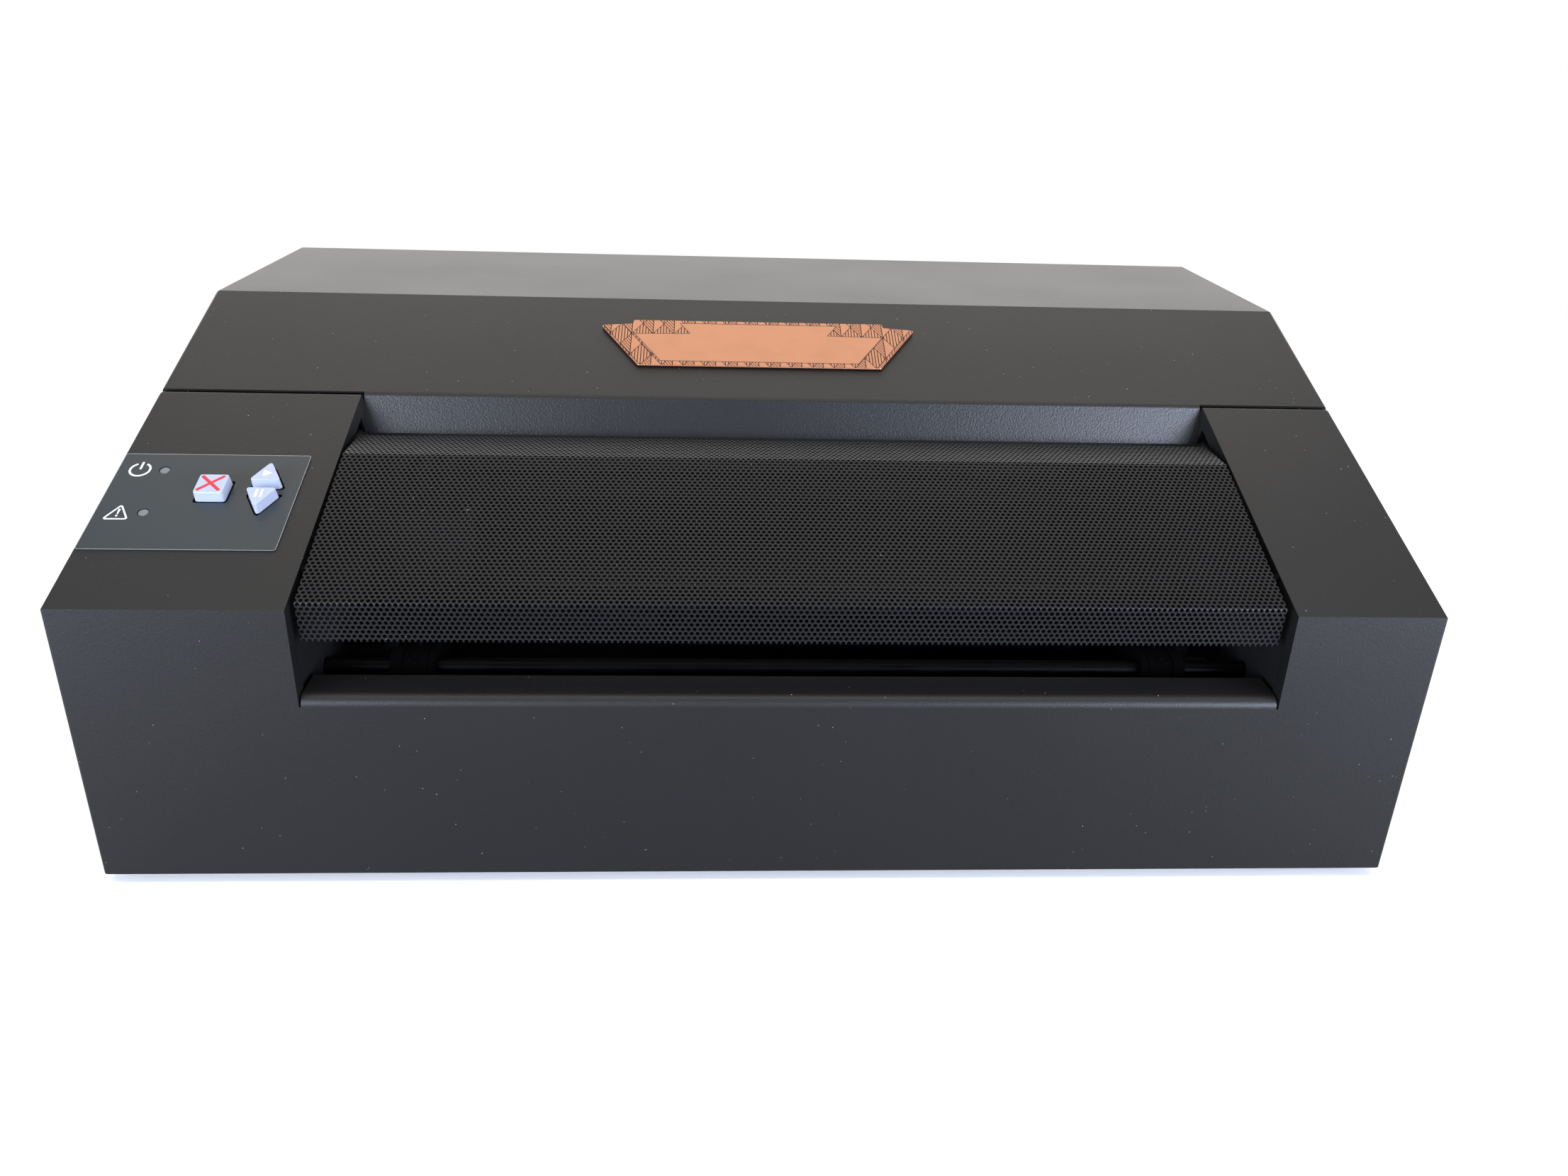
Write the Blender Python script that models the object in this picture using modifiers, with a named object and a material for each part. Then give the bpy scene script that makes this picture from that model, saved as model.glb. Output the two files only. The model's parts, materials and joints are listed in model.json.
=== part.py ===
"""A desktop braille embosser: a folded steel case with a hinged lid and a perforated cover.

Fanfold paper comes in through the notch in the front, is drawn in by two pin tractors,
is embossed between the carriage's pins and the die bar, and leaves through the rear slot.
Lengths are in metres.  Pieces are placed from the case's front bottom edge: +X to the
right, +Y towards the rear, +Z up.
"""
import math

import bmesh
import bpy
from mathutils import Matrix, Vector

for leftover in list(bpy.data.objects):
    bpy.data.objects.remove(leftover)

# Driving sizes of the case
CASE_WIDTH = 0.710
CASE_DEPTH = 0.452
CASE_HEIGHT = 0.2600
SLOPE_RISE = 0.1012
SLOPE_ANGLE = math.radians(20.26)
LID_FRONT = 0.1716
LEFT_SHOULDER = 0.1175
RIGHT_SHOULDER = 0.0805
SILL_DROP = 0.0488
FOOT_HEIGHT = 0.006

# Edges of the case that the other pieces are placed from
LEFT_EDGE = -CASE_WIDTH / 2
RIGHT_EDGE = CASE_WIDTH / 2
FRONT_HEIGHT = CASE_HEIGHT - SLOPE_RISE
NOTCH_LEFT = LEFT_EDGE + LEFT_SHOULDER
NOTCH_RIGHT = RIGHT_EDGE - RIGHT_SHOULDER
SILL_HEIGHT = FRONT_HEIGHT - SILL_DROP

# Sheets, gaps and overruns shared by the pieces
CASE_SHEET = 0.0015
SEAT_GAP = 0.0003
FILM_GAP = 0.0001
LID_SEAM = 0.0010
OVERRUN = 0.002

# Places of the moving parts: the shaft lies just below the sill, the rails above it
SHAFT_DEPTH = 0.090
SHAFT_DROP = 0.010
SHAFT_HEIGHT = SILL_HEIGHT - SHAFT_DROP
RAIL_FRONT_DEPTH = 0.118
RAIL_REAR_DEPTH = 0.164
RAIL_RISE = 0.058
RAIL_HEIGHT = SHAFT_HEIGHT + RAIL_RISE

PARTS = bpy.data.collections.new("braille_embosser")
CUTTERS = bpy.data.collections.new("cutters")
bpy.context.scene.collection.children.link(PARTS)
bpy.context.scene.collection.children.link(CUTTERS)


def empty(name, place, parent=None, tilt=0.0):
    """An empty that carries the pieces built from its place."""
    holder = bpy.data.objects.new(name, None)
    PARTS.objects.link(holder)
    holder.parent = parent
    holder.location = place
    holder.rotation_euler = (tilt, 0.0, 0.0)
    return holder


CASE_CORNER = empty("case_corner", (0.0, -CASE_DEPTH / 2, FOOT_HEIGHT))
SLOPE = empty("slope_plane", (0.0, 0.0, FRONT_HEIGHT), CASE_CORNER, SLOPE_ANGLE)


def slope_z(depth):
    """Height of the sloping face's plane at a depth."""
    return FRONT_HEIGHT + depth * math.tan(SLOPE_ANGLE)


BEND_DEPTH = (CASE_HEIGHT - FRONT_HEIGHT) / math.tan(SLOPE_ANGLE)


def on_slope(along, below=0.0):
    """Depth and height of a point on the slope, or below it square to its plane."""
    depth = along * math.cos(SLOPE_ANGLE) + below * math.sin(SLOPE_ANGLE)
    height = FRONT_HEIGHT + along * math.sin(SLOPE_ANGLE) - below * math.cos(SLOPE_ANGLE)
    return depth, height


def add_piece(name, shape, parent):
    """Turn a bmesh into an object of the part."""
    mesh = bpy.data.meshes.new(name)
    shape.to_mesh(mesh)
    shape.free()
    piece = bpy.data.objects.new(name, mesh)
    PARTS.objects.link(piece)
    piece.parent = parent
    return piece


def finish(piece, colour, roughness, metallic, smooth=False):
    """Give a piece its own material and, on round pieces, smooth shading."""
    paint = bpy.data.materials.new(piece.name)
    paint.use_nodes = True
    shader = paint.node_tree.nodes["Principled BSDF"]
    shader.inputs["Base Color"].default_value = (*colour, 1.0)
    shader.inputs["Roughness"].default_value = roughness
    shader.inputs["Metallic"].default_value = metallic
    piece.data.materials.clear()
    piece.data.materials.append(paint)
    if smooth:
        piece.data.shade_smooth()
        piece.data.set_sharp_from_angle(angle=math.radians(35.0))
    return piece


def pivot_at(piece, place):
    """Move a piece's origin onto its joint's axis and leave its shape where it is."""
    piece.data.transform(Matrix.Translation(-Vector(place)))
    piece.location = place
    return piece


def block(name, low, high, parent=CASE_CORNER):
    """A box between two corners."""
    shape = bmesh.new()
    bmesh.ops.create_cube(shape, size=1.0)
    size = [b - a for a, b in zip(low, high)]
    centre = [(a + b) / 2 for a, b in zip(low, high)]
    bmesh.ops.scale(shape, verts=shape.verts, vec=size)
    bmesh.ops.translate(shape, verts=shape.verts, vec=centre)
    return add_piece(name, shape, parent)


def blocks(name, corners, parent=CASE_CORNER):
    """Several boxes in one object, such as a row of slots for one cut."""
    shape = bmesh.new()
    for low, high in corners:
        made = bmesh.ops.create_cube(shape, size=1.0)
        size = [b - a for a, b in zip(low, high)]
        centre = [(a + b) / 2 for a, b in zip(low, high)]
        bmesh.ops.scale(shape, verts=made["verts"], vec=size)
        bmesh.ops.translate(shape, verts=made["verts"], vec=centre)
    return add_piece(name, shape, parent)


AXIS_TURN = {
    "X": Matrix.Rotation(math.pi / 2, 4, "Y"),
    "Y": Matrix.Rotation(-math.pi / 2, 4, "X"),
    "Z": Matrix.Identity(4),
}


def rods(name, axis, ends, radius, sides, parent=CASE_CORNER, tip_radius=None):
    """Round bars along one axis, each given as its start point and its length."""
    shape = bmesh.new()
    tip = radius if tip_radius is None else tip_radius
    for start, length in ends:
        made = bmesh.ops.create_cone(shape, cap_ends=True, segments=sides,
                                     radius1=radius, radius2=tip, depth=length)
        shift = Matrix.Translation((0.0, 0.0, length / 2))
        turn = Matrix.Translation(start) @ AXIS_TURN[axis] @ shift
        bmesh.ops.transform(shape, matrix=turn, verts=made["verts"])
    return add_piece(name, shape, parent)


def rod(name, axis, start, length, radius, sides, parent=CASE_CORNER, tip_radius=None):
    """One round bar along an axis."""
    return rods(name, axis, [(start, length)], radius, sides, parent, tip_radius)


PLANE_TURN = {
    "XY": Matrix.Identity(4),
    "XZ": Matrix.Rotation(math.pi / 2, 4, "X"),
    "YZ": Matrix(((0, 0, 1, 0), (1, 0, 0, 0), (0, 1, 0, 0), (0, 0, 0, 1))),
}
PLANE_NORMAL = {"XY": Vector((0, 0, 1)), "XZ": Vector((0, 1, 0)), "YZ": Vector((1, 0, 0))}


def filled(loops, thickness):
    """Mesh of a flat outline with its holes, as thick as asked, about its own plane."""
    curve = bpy.data.curves.new("outline", "CURVE")
    curve.dimensions = "2D"
    curve.fill_mode = "BOTH"
    curve.extrude = thickness / 2
    for loop in loops:
        spline = curve.splines.new("POLY")
        spline.points.add(len(loop) - 1)
        for point, (a, b) in zip(spline.points, loop):
            point.co = (a, b, 0.0, 1.0)
        spline.use_cyclic_u = True
    drawn = bpy.data.objects.new("outline", curve)
    PARTS.objects.link(drawn)
    view = bpy.context.evaluated_depsgraph_get()
    mesh = bpy.data.meshes.new_from_object(drawn.evaluated_get(view))
    bpy.data.objects.remove(drawn)
    shape = bmesh.new()
    shape.from_mesh(mesh)
    bpy.data.meshes.remove(mesh)
    bmesh.ops.remove_doubles(shape, verts=shape.verts, dist=SEAT_GAP / 100)
    return shape


def plate(name, plane, loops, start, thickness, parent=CASE_CORNER):
    """A flat plate in a coordinate plane, from start along the plane's normal."""
    shape = filled(loops, thickness)
    shift = Matrix.Translation(PLANE_NORMAL[plane] * (start + thickness / 2))
    bmesh.ops.transform(shape, matrix=shift @ PLANE_TURN[plane], verts=shape.verts)
    bmesh.ops.recalc_face_normals(shape, faces=shape.faces)
    return add_piece(name, shape, parent)


def strip(name, path, left, right, thickness, parent=CASE_CORNER):
    """A sheet folded along a (depth, height) path, with its thickness behind and below it."""
    shape = bmesh.new()
    near = [shape.verts.new((left, y, z)) for y, z in path]
    far = [shape.verts.new((right, y, z)) for y, z in path]
    for i in range(len(path) - 1):
        shape.faces.new((near[i], far[i], far[i + 1], near[i + 1]))
    piece = add_piece(name, shape, parent)
    thicken(piece, thickness, -1.0)
    return piece


def thicken(piece, thickness, side):
    """Give an open surface its sheet thickness."""
    wall = piece.modifiers.new("sheet", "SOLIDIFY")
    wall.thickness = thickness
    wall.offset = side
    wall.use_even_offset = True


def combine(piece, other, operation):
    """Cut a piece with another object, or join that object to it."""
    step = piece.modifiers.new(other.name, "BOOLEAN")
    step.operation = operation
    step.solver = "EXACT"
    step.object = other
    PARTS.objects.unlink(other)
    CUTTERS.objects.link(other)
    other.hide_render = True
    other.display_type = "WIRE"


def cut(piece, *cutters):
    """Cut a piece with each cutter in turn."""
    for cutter in cutters:
        combine(piece, cutter, "DIFFERENCE")


def join(piece, *additions):
    """Join each addition to a piece as one body."""
    for addition in additions:
        combine(piece, addition, "UNION")


def rectangle(x_low, x_high, z_low, z_high):
    """Corners of an upright rectangle."""
    return [(x_low, z_low), (x_high, z_low), (x_high, z_high), (x_low, z_high)]


def arc(centre, radius, start, end, steps):
    """Points along an arc, angles in radians, both ends included."""
    turns = [start + (end - start) * i / steps for i in range(steps + 1)]
    return [(centre[0] + radius * math.cos(a), centre[1] + radius * math.sin(a)) for a in turns]


def circle(centre, radius, sides):
    """A closed ring of points."""
    return arc(centre, radius, 0.0, 2 * math.pi * (sides - 1) / sides, sides - 1)


def round_box(x_low, x_high, z_low, z_high, radius, steps):
    """Corners of a rectangle with round corners."""
    quarter = math.pi / 2
    centres = [(x_high - radius, z_high - radius), (x_low + radius, z_high - radius),
               (x_low + radius, z_low + radius), (x_high - radius, z_low + radius)]
    points = []
    for turn, centre in enumerate(centres):
        points += arc(centre, radius, turn * quarter, (turn + 1) * quarter, steps)
    return points


def stadium(first, second, radius, steps):
    """A slot-shaped outline round two centres that lie side by side."""
    quarter = math.pi / 2
    return (arc(second, radius, -quarter, quarter, steps)
            + arc(first, radius, quarter, 3 * quarter, steps))


def turned(name, profile, axis, centre, sides, parent=CASE_CORNER):
    """A piece turned about an axis; the profile runs (radius, along) from the top down."""
    shape = bmesh.new()
    verts = [shape.verts.new((radius, 0.0, along)) for radius, along in profile]
    for pair in zip(verts, verts[1:]):
        shape.edges.new(pair)
    piece = add_piece(name, shape, parent)
    piece.matrix_local = Matrix.Translation(centre) @ AXIS_TURN[axis]
    spin = piece.modifiers.new("turned", "SCREW")
    spin.angle = 2 * math.pi
    spin.steps = sides
    spin.render_steps = sides
    spin.use_merge_vertices = True
    spin.merge_threshold = 0.00001
    return piece


# Finishes, as linear colours
DARK_COAT = (0.022, 0.023, 0.025)
INNER_COAT = (0.012, 0.012, 0.013)
ZINC = (0.45, 0.46, 0.47)
STEEL = (0.55, 0.55, 0.54)
BLACK_PLASTIC = (0.012, 0.012, 0.012)
RUBBER = (0.010, 0.010, 0.010)
BOARD_GREEN = (0.010, 0.090, 0.035)
MOTOR_BLACK = (0.020, 0.020, 0.022)
ALUMINIUM = (0.60, 0.61, 0.62)
KEY_WHITE = (0.60, 0.70, 0.85)
COPPER = (0.62, 0.30, 0.17)

# The case: one folded shell with the notch, its flanges and the rounded sill
SKIRT = 0.0205
FRONT_SEAM = 0.0016
SIDE_BEND = 0.0024
SILL_RADIUS = 0.006
SILL_DEPTH = 0.024
NOTCH_FLANGE = 0.010
BEND_RELIEF = 0.001
HINGE_RELIEF = 0.009
STOP_RADIUS = 0.0025
STOP_DEPTH = 0.030
STOP_REACH = 0.012
BEND_STEPS = 3

# The perforated cover's section, measured on its outer face
COVER_SHEET = 0.0012
COVER_GAP_LEFT = 0.0035
COVER_GAP_RIGHT = 0.0045
COVER_LEFT = NOTCH_LEFT + COVER_GAP_LEFT
COVER_RIGHT = NOTCH_RIGHT - COVER_GAP_RIGHT


def from_front_edge(depth, rise):
    """Depth and height of a point, given from the front wall's top edge."""
    return depth, FRONT_HEIGHT + rise


LIP_BOTTOM = from_front_edge(0.0063, -0.0202)
LIP_TOP = from_front_edge(0.0044, 0.0023)
RIDGE = from_front_edge(0.1096, 0.0450)
COVER_REAR = from_front_edge(0.1439, 0.0451)


def cover_underside(depth):
    """Height of the cover's underside, between its lip and its ridge."""
    rise = (RIDGE[1] - LIP_TOP[1]) / (RIDGE[0] - LIP_TOP[0])
    return LIP_TOP[1] + (depth - LIP_TOP[0]) * rise - COVER_SHEET * math.hypot(1.0, rise)


def wrapped_sides(outline, kept):
    """Open surface of a wide folded sheet: both side walls and the kept faces between."""
    shape = bmesh.new()
    half = CASE_WIDTH / 2
    left = [shape.verts.new((-half, y, z)) for y, z in outline]
    right = [shape.verts.new((half, y, z)) for y, z in outline]
    shape.faces.new(left)
    shape.faces.new(list(reversed(right)))
    for i in kept:
        shape.faces.new((left[i], right[i], right[i + 1], left[i + 1]))
    return shape


def split(shape, faces, point, normal):
    """Split chosen faces along a plane."""
    geometry = set(faces)
    for face in faces:
        geometry.update(face.edges)
        geometry.update(face.verts)
    bmesh.ops.bisect_plane(shape, geom=list(geometry), dist=SEAT_GAP / 100,
                           plane_co=point, plane_no=normal)


def soften(shape, chosen, radius, steps=BEND_STEPS):
    """Round the chosen folds of an open surface."""
    bmesh.ops.bevel(shape, geom=chosen, offset=radius, segments=steps, profile=0.5,
                    affect="EDGES", clamp_overlap=True)


def edge_ends(edge):
    """Both end points of an edge."""
    return edge.verts[0].co, edge.verts[1].co


def draw_out(shape, edges, place):
    """Fold a new flange out of boundary edges; place maps a point to its new place."""
    made = bmesh.ops.extrude_edge_only(shape, edges=edges)
    for item in made["geom"]:
        if isinstance(item, bmesh.types.BMVert):
            item.co = place(item.co)
    return [item for item in made["geom"] if isinstance(item, bmesh.types.BMEdge)]


def make_front_case():
    end = LID_FRONT - FRONT_SEAM
    along_end = end / math.cos(SLOPE_ANGLE)
    drop = SKIRT + LID_SEAM
    wall_top = CASE_HEIGHT - drop
    fold_depth = BEND_DEPTH + drop * math.tan(SLOPE_ANGLE / 2)
    foot_of_end = on_slope(along_end, drop)
    outline = [(0.0, 0.0), (0.0, FRONT_HEIGHT), (end, slope_z(end)), foot_of_end,
               (fold_depth, wall_top), (CASE_DEPTH - HINGE_RELIEF, wall_top),
               (CASE_DEPTH - HINGE_RELIEF, wall_top - HINGE_RELIEF),
               (CASE_DEPTH, wall_top - HINGE_RELIEF), (CASE_DEPTH, 0.0)]
    shape = wrapped_sides(outline, kept=(0, 1, 2))
    half = CASE_WIDTH / 2
    across = [face for face in shape.faces if abs(face.calc_center_median().x) < half / 2]
    for edge in (NOTCH_LEFT, NOTCH_RIGHT):
        split(shape, across, (edge, 0.0, 0.0), (1.0, 0.0, 0.0))
        across = [face for face in shape.faces if abs(face.normal.x) < 0.5]

    def in_notch(point):
        return NOTCH_LEFT < point.x < NOTCH_RIGHT

    shape.normal_update()
    front = [f for f in shape.faces if f.normal.y < -0.9 and in_notch(f.calc_center_median())
             and f.calc_center_median().y < SEAT_GAP]
    sill_base = SILL_HEIGHT - SILL_RADIUS
    split(shape, front, (0.0, 0.0, sill_base), (0.0, 0.0, 1.0))
    gone = [f for f in shape.faces if abs(f.normal.x) < 0.5 and in_notch(f.calc_center_median())
            and f.calc_center_median().z > sill_base]
    bmesh.ops.delete(shape, geom=gone, context="FACES")
    sill = [f for f in shape.faces if abs(f.normal.x) < 0.5 and in_notch(f.calc_center_median())]
    for edge in (NOTCH_LEFT + BEND_RELIEF, NOTCH_RIGHT - BEND_RELIEF):
        split(shape, sill, (edge, 0.0, 0.0), (1.0, 0.0, 0.0))
        sill = [f for f in shape.faces if in_notch(f.calc_center_median())]

    # The sill's edge is rolled back over a large radius and runs on as a ledge
    def is_sill(edge):
        a, b = edge_ends(edge)
        level = abs(a.z - sill_base) < SEAT_GAP and abs(b.z - sill_base) < SEAT_GAP
        return level and in_notch((a + b) / 2) and abs(a.x - b.x) > NOTCH_FLANGE

    rolled = [edge for edge in shape.edges if edge.is_boundary and is_sill(edge)]
    path = arc((SILL_RADIUS, sill_base), SILL_RADIUS, math.pi, math.pi / 2, 2 * BEND_STEPS)
    for y, z in path[1:] + [(SILL_DEPTH, SILL_HEIGHT)]:
        rolled = draw_out(shape, rolled, lambda co, y=y, z=z: Vector((co.x, y, z)))
        rolled = [e for e in rolled if e.is_boundary and abs(e.verts[0].co.x - e.verts[1].co.x) > end / 2]

    # Both sides of the notch are turned in as flanges
    tangent = math.tan(SLOPE_ANGLE)
    inset_level = NOTCH_FLANGE / math.cos(SLOPE_ANGLE)
    end_inner = on_slope(along_end - NOTCH_FLANGE, NOTCH_FLANGE)
    end_foot = on_slope(along_end - NOTCH_FLANGE, drop)

    def inset(co):
        if co.y < SEAT_GAP and co.z < FRONT_HEIGHT - SEAT_GAP:
            return Vector((co.x, NOTCH_FLANGE, co.z))
        if co.y < SEAT_GAP:
            return Vector((co.x, NOTCH_FLANGE, FRONT_HEIGHT + NOTCH_FLANGE * tangent - inset_level))
        if co.z > foot_of_end[1] + NOTCH_FLANGE / 2:
            return Vector((co.x, *end_inner))
        return Vector((co.x, *end_foot))

    for place in (NOTCH_LEFT, NOTCH_RIGHT):
        side = [e for e in shape.edges if e.is_boundary
                and all(abs(v.co.x - place) < SEAT_GAP and v.co.z > sill_base - SEAT_GAP for v in e.verts)]
        draw_out(shape, side, inset)

    # The wrapped corners and the fold that dips under the lid are rounded
    corners = [e for e in shape.edges
               if not e.is_boundary and all(abs(abs(v.co.x) - half) < SEAT_GAP for v in e.verts)]
    dips = [e for e in shape.edges if not e.is_boundary
            and all(abs(v.co.y - end) < SEAT_GAP and abs(v.co.z - slope_z(end)) < SEAT_GAP for v in e.verts)]
    soften(shape, corners + dips, SIDE_BEND)
    piece = add_piece("front_case", shape, CASE_CORNER)
    thicken(piece, CASE_SHEET, -1.0)
    stop_z = cover_underside(STOP_DEPTH) - (STOP_RADIUS + SEAT_GAP) / math.cos(SLOPE_ANGLE)
    reach = CASE_SHEET / 2 + STOP_REACH
    stops = [((NOTCH_LEFT - CASE_SHEET / 2, STOP_DEPTH, stop_z), reach),
             ((NOTCH_RIGHT + CASE_SHEET / 2 - reach, STOP_DEPTH, stop_z), reach)]
    join(piece, rods("cover_stops", "X", stops, STOP_RADIUS, 8))
    cut(piece, key_openings("case_key_holes", KEY_CLEARANCE), led_openings("case_led_holes", LED_CLEARANCE))
    finish(piece, DARK_COAT, 0.45, 0.3)


def from_left(across, along):
    """A place in the slope's own plane, given from the case's left edge and up the slope."""
    return LEFT_EDGE + across, along


# The keys, in the slope's own plane: across, up the slope, and out of it
KEY_HEIGHT = 0.0065
KEY_ROOT = 0.0045
KEY_DRAFT = 0.0006
KEY_ROUND = 0.0012
KEY_CLEARANCE = 0.0009
KEY_FLANGE = 0.0016
KEY_FLANGE_THICK = 0.0012
CANCEL_CENTRE = from_left(0.0583, 0.0886)
CANCEL_WIDTH = 0.0164
ARROW_WIDTH = 0.0178
ARROW_LENGTH = 0.0166
PLAY_FOOT = from_left(0.0855, 0.0918)
PAUSE_FOOT = from_left(0.0856, 0.0862)
LED_PLACES = (from_left(0.0266, 0.1065), from_left(0.0266, 0.0714))
LED_RADIUS = 0.0028
LED_CLEARANCE = 0.0003


def square_key(grow):
    """Outline of the square key, larger all round by grow."""
    x, s = CANCEL_CENTRE
    half = CANCEL_WIDTH / 2 + grow
    return round_box(x - half, x + half, s - half, s + half, KEY_ROUND, 2)


def arrow_key(foot, way, grow):
    """Outline of a triangular key; way is +1 pointing up the slope and -1 down it."""
    flank = math.atan2(ARROW_LENGTH, ARROW_WIDTH / 2)
    x, s = foot
    inner = KEY_ROUND - grow
    rise = inner / math.tan(flank / 2)
    tip = ARROW_LENGTH - inner / math.cos(flank)
    centres = [(ARROW_WIDTH / 2 - rise, inner), (0.0, tip), (rise - ARROW_WIDTH / 2, inner)]
    starts = (-math.pi / 2, math.pi / 2 - flank, math.pi - (math.pi / 2 - flank))
    sweeps = (math.pi - flank, 2 * flank, math.pi - flank)
    points = []
    for (cx, cs), start, sweep in zip(centres, starts, sweeps):
        points += arc((cx, cs), KEY_ROUND, start, start + sweep, 2)
    return [(x + px, s + way * py) for px, py in points][::way]


def key_outlines(grow):
    """The three keys' outlines by name."""
    return {"cancel_key": square_key(grow),
            "play_key": arrow_key(PLAY_FOOT, 1, grow),
            "pause_key": arrow_key(PAUSE_FOOT, -1, grow)}


def key_openings(name, clearance):
    """Cutter for the three key openings."""
    deep = CASE_SHEET + KEY_FLANGE_THICK + OVERRUN
    loops = list(key_outlines(clearance).values())
    return plate(name, "XY", loops, -deep, deep + OVERRUN, SLOPE)


def led_openings(name, clearance):
    """Cutter for both indicator holes."""
    deep = CASE_SHEET + OVERRUN
    loops = [circle(place, LED_RADIUS + clearance, 12) for place in LED_PLACES]
    return plate(name, "XY", loops, -deep, deep + OVERRUN, SLOPE)


def make_keys():
    collar_top = -CASE_SHEET - SEAT_GAP
    collar_low = collar_top - KEY_FLANGE_THICK
    for name, outline in key_outlines(0.0).items():
        cap = plate(name, "XY", [outline], -KEY_ROOT, KEY_ROOT + KEY_HEIGHT, SLOPE)
        centre = sum((Vector(p) for p in outline), Vector((0.0, 0.0))) / len(outline)
        share = 1.0 - 2 * KEY_DRAFT / CANCEL_WIDTH
        for vert in cap.data.vertices:
            if vert.co.z > 0:
                vert.co.x = centre.x + (vert.co.x - centre.x) * share
                vert.co.y = centre.y + (vert.co.y - centre.y) * share
        collar = plate(name + "_collar", "XY", [key_outlines(KEY_FLANGE)[name]],
                       collar_low, KEY_FLANGE_THICK, SLOPE)
        join(cap, collar)
        pivot_at(cap, (centre.x, centre.y, 0.0))
        finish(cap, KEY_WHITE, 0.35, 0.0)


# The printed film round the keys, and the two light pipes
FILM_THICK = 0.0004
FILM_LOW = from_left(0.0016, 0.0425)
FILM_HIGH = from_left(0.1026, 0.1205)
FILM_ROUND = 0.003


def make_control_panel():
    corners = round_box(FILM_LOW[0], FILM_HIGH[0], FILM_LOW[1], FILM_HIGH[1], FILM_ROUND, 3)
    openings = list(key_outlines(KEY_CLEARANCE).values())
    lamps = [circle(place, LED_RADIUS + LED_CLEARANCE, 12) for place in LED_PLACES]
    film = plate("control_overlay", "XY", [corners] + openings + lamps, FILM_GAP, FILM_THICK, SLOPE)
    finish(film, (0.045, 0.055, 0.055), 0.25, 0.0)
    top = FILM_GAP + FILM_THICK
    bottom = -BOARD_DROP + SEAT_GAP
    for name, place in zip(("power_light", "alert_light"), LED_PLACES):
        profile = [(0.0, top), (LED_RADIUS * 0.7, top), (LED_RADIUS, top - FILM_THICK),
                   (LED_RADIUS, bottom), (0.0, bottom)]
        lamp = turned(name, profile, "Z", (*place, 0.0), 14, SLOPE)
        finish(lamp, (0.35, 0.36, 0.36), 0.2, 0.0, smooth=True)


# The keypad's circuit board hangs under the left shoulder on four posts
BOARD_DROP = 0.0085
BOARD_THICK = 0.0016
BOARD_MARGIN = 0.004
POST_RADIUS = 0.0025
SWITCH_SIZE = 0.006
SWITCH_HEIGHT = 0.0022


def make_keypad_board():
    low = (FILM_LOW[0] + BOARD_MARGIN, FILM_LOW[1] + BOARD_MARGIN)
    high = (FILM_HIGH[0] - BOARD_MARGIN, FILM_HIGH[1] - BOARD_MARGIN)
    corners = rectangle(low[0], high[0], low[1], high[1])
    top = -BOARD_DROP
    board = plate("keypad_board", "XY", [corners], top - BOARD_THICK, BOARD_THICK, SLOPE)
    length = BOARD_DROP - CASE_SHEET - SEAT_GAP + BOARD_THICK / 2
    inset = 2 * POST_RADIUS
    places = [(low[0] + inset, low[1] + inset), (high[0] - inset, low[1] + inset),
              (low[0] + inset, high[1] - inset), (high[0] - inset, high[1] - inset)]
    posts = [((x, s, top - BOARD_THICK / 2), length) for x, s in places]
    switches = []
    for outline in key_outlines(0.0).values():
        centre = sum((Vector(p) for p in outline), Vector((0.0, 0.0))) / len(outline)
        half = SWITCH_SIZE / 2
        switches.append(((centre.x - half, centre.y - half, top - BOARD_THICK / 2),
                         (centre.x + half, centre.y + half, top + SWITCH_HEIGHT)))
    join(board, rods("keypad_posts", "Z", posts, POST_RADIUS, 8, SLOPE),
         blocks("keypad_switches", switches, SLOPE))
    finish(board, BOARD_GREEN, 0.4, 0.0)


# The lid: slope and top in one sheet, skirts on three sides and a lip over the notch
BAND_INSET = 0.0010
BAND_HEIGHT = 0.0250
BAND_LEAN = math.radians(16.6)
BAND_RADIUS = 0.003
BAND_CORNER = 0.003
LID_SIDE_INSET = 0.0002


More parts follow.
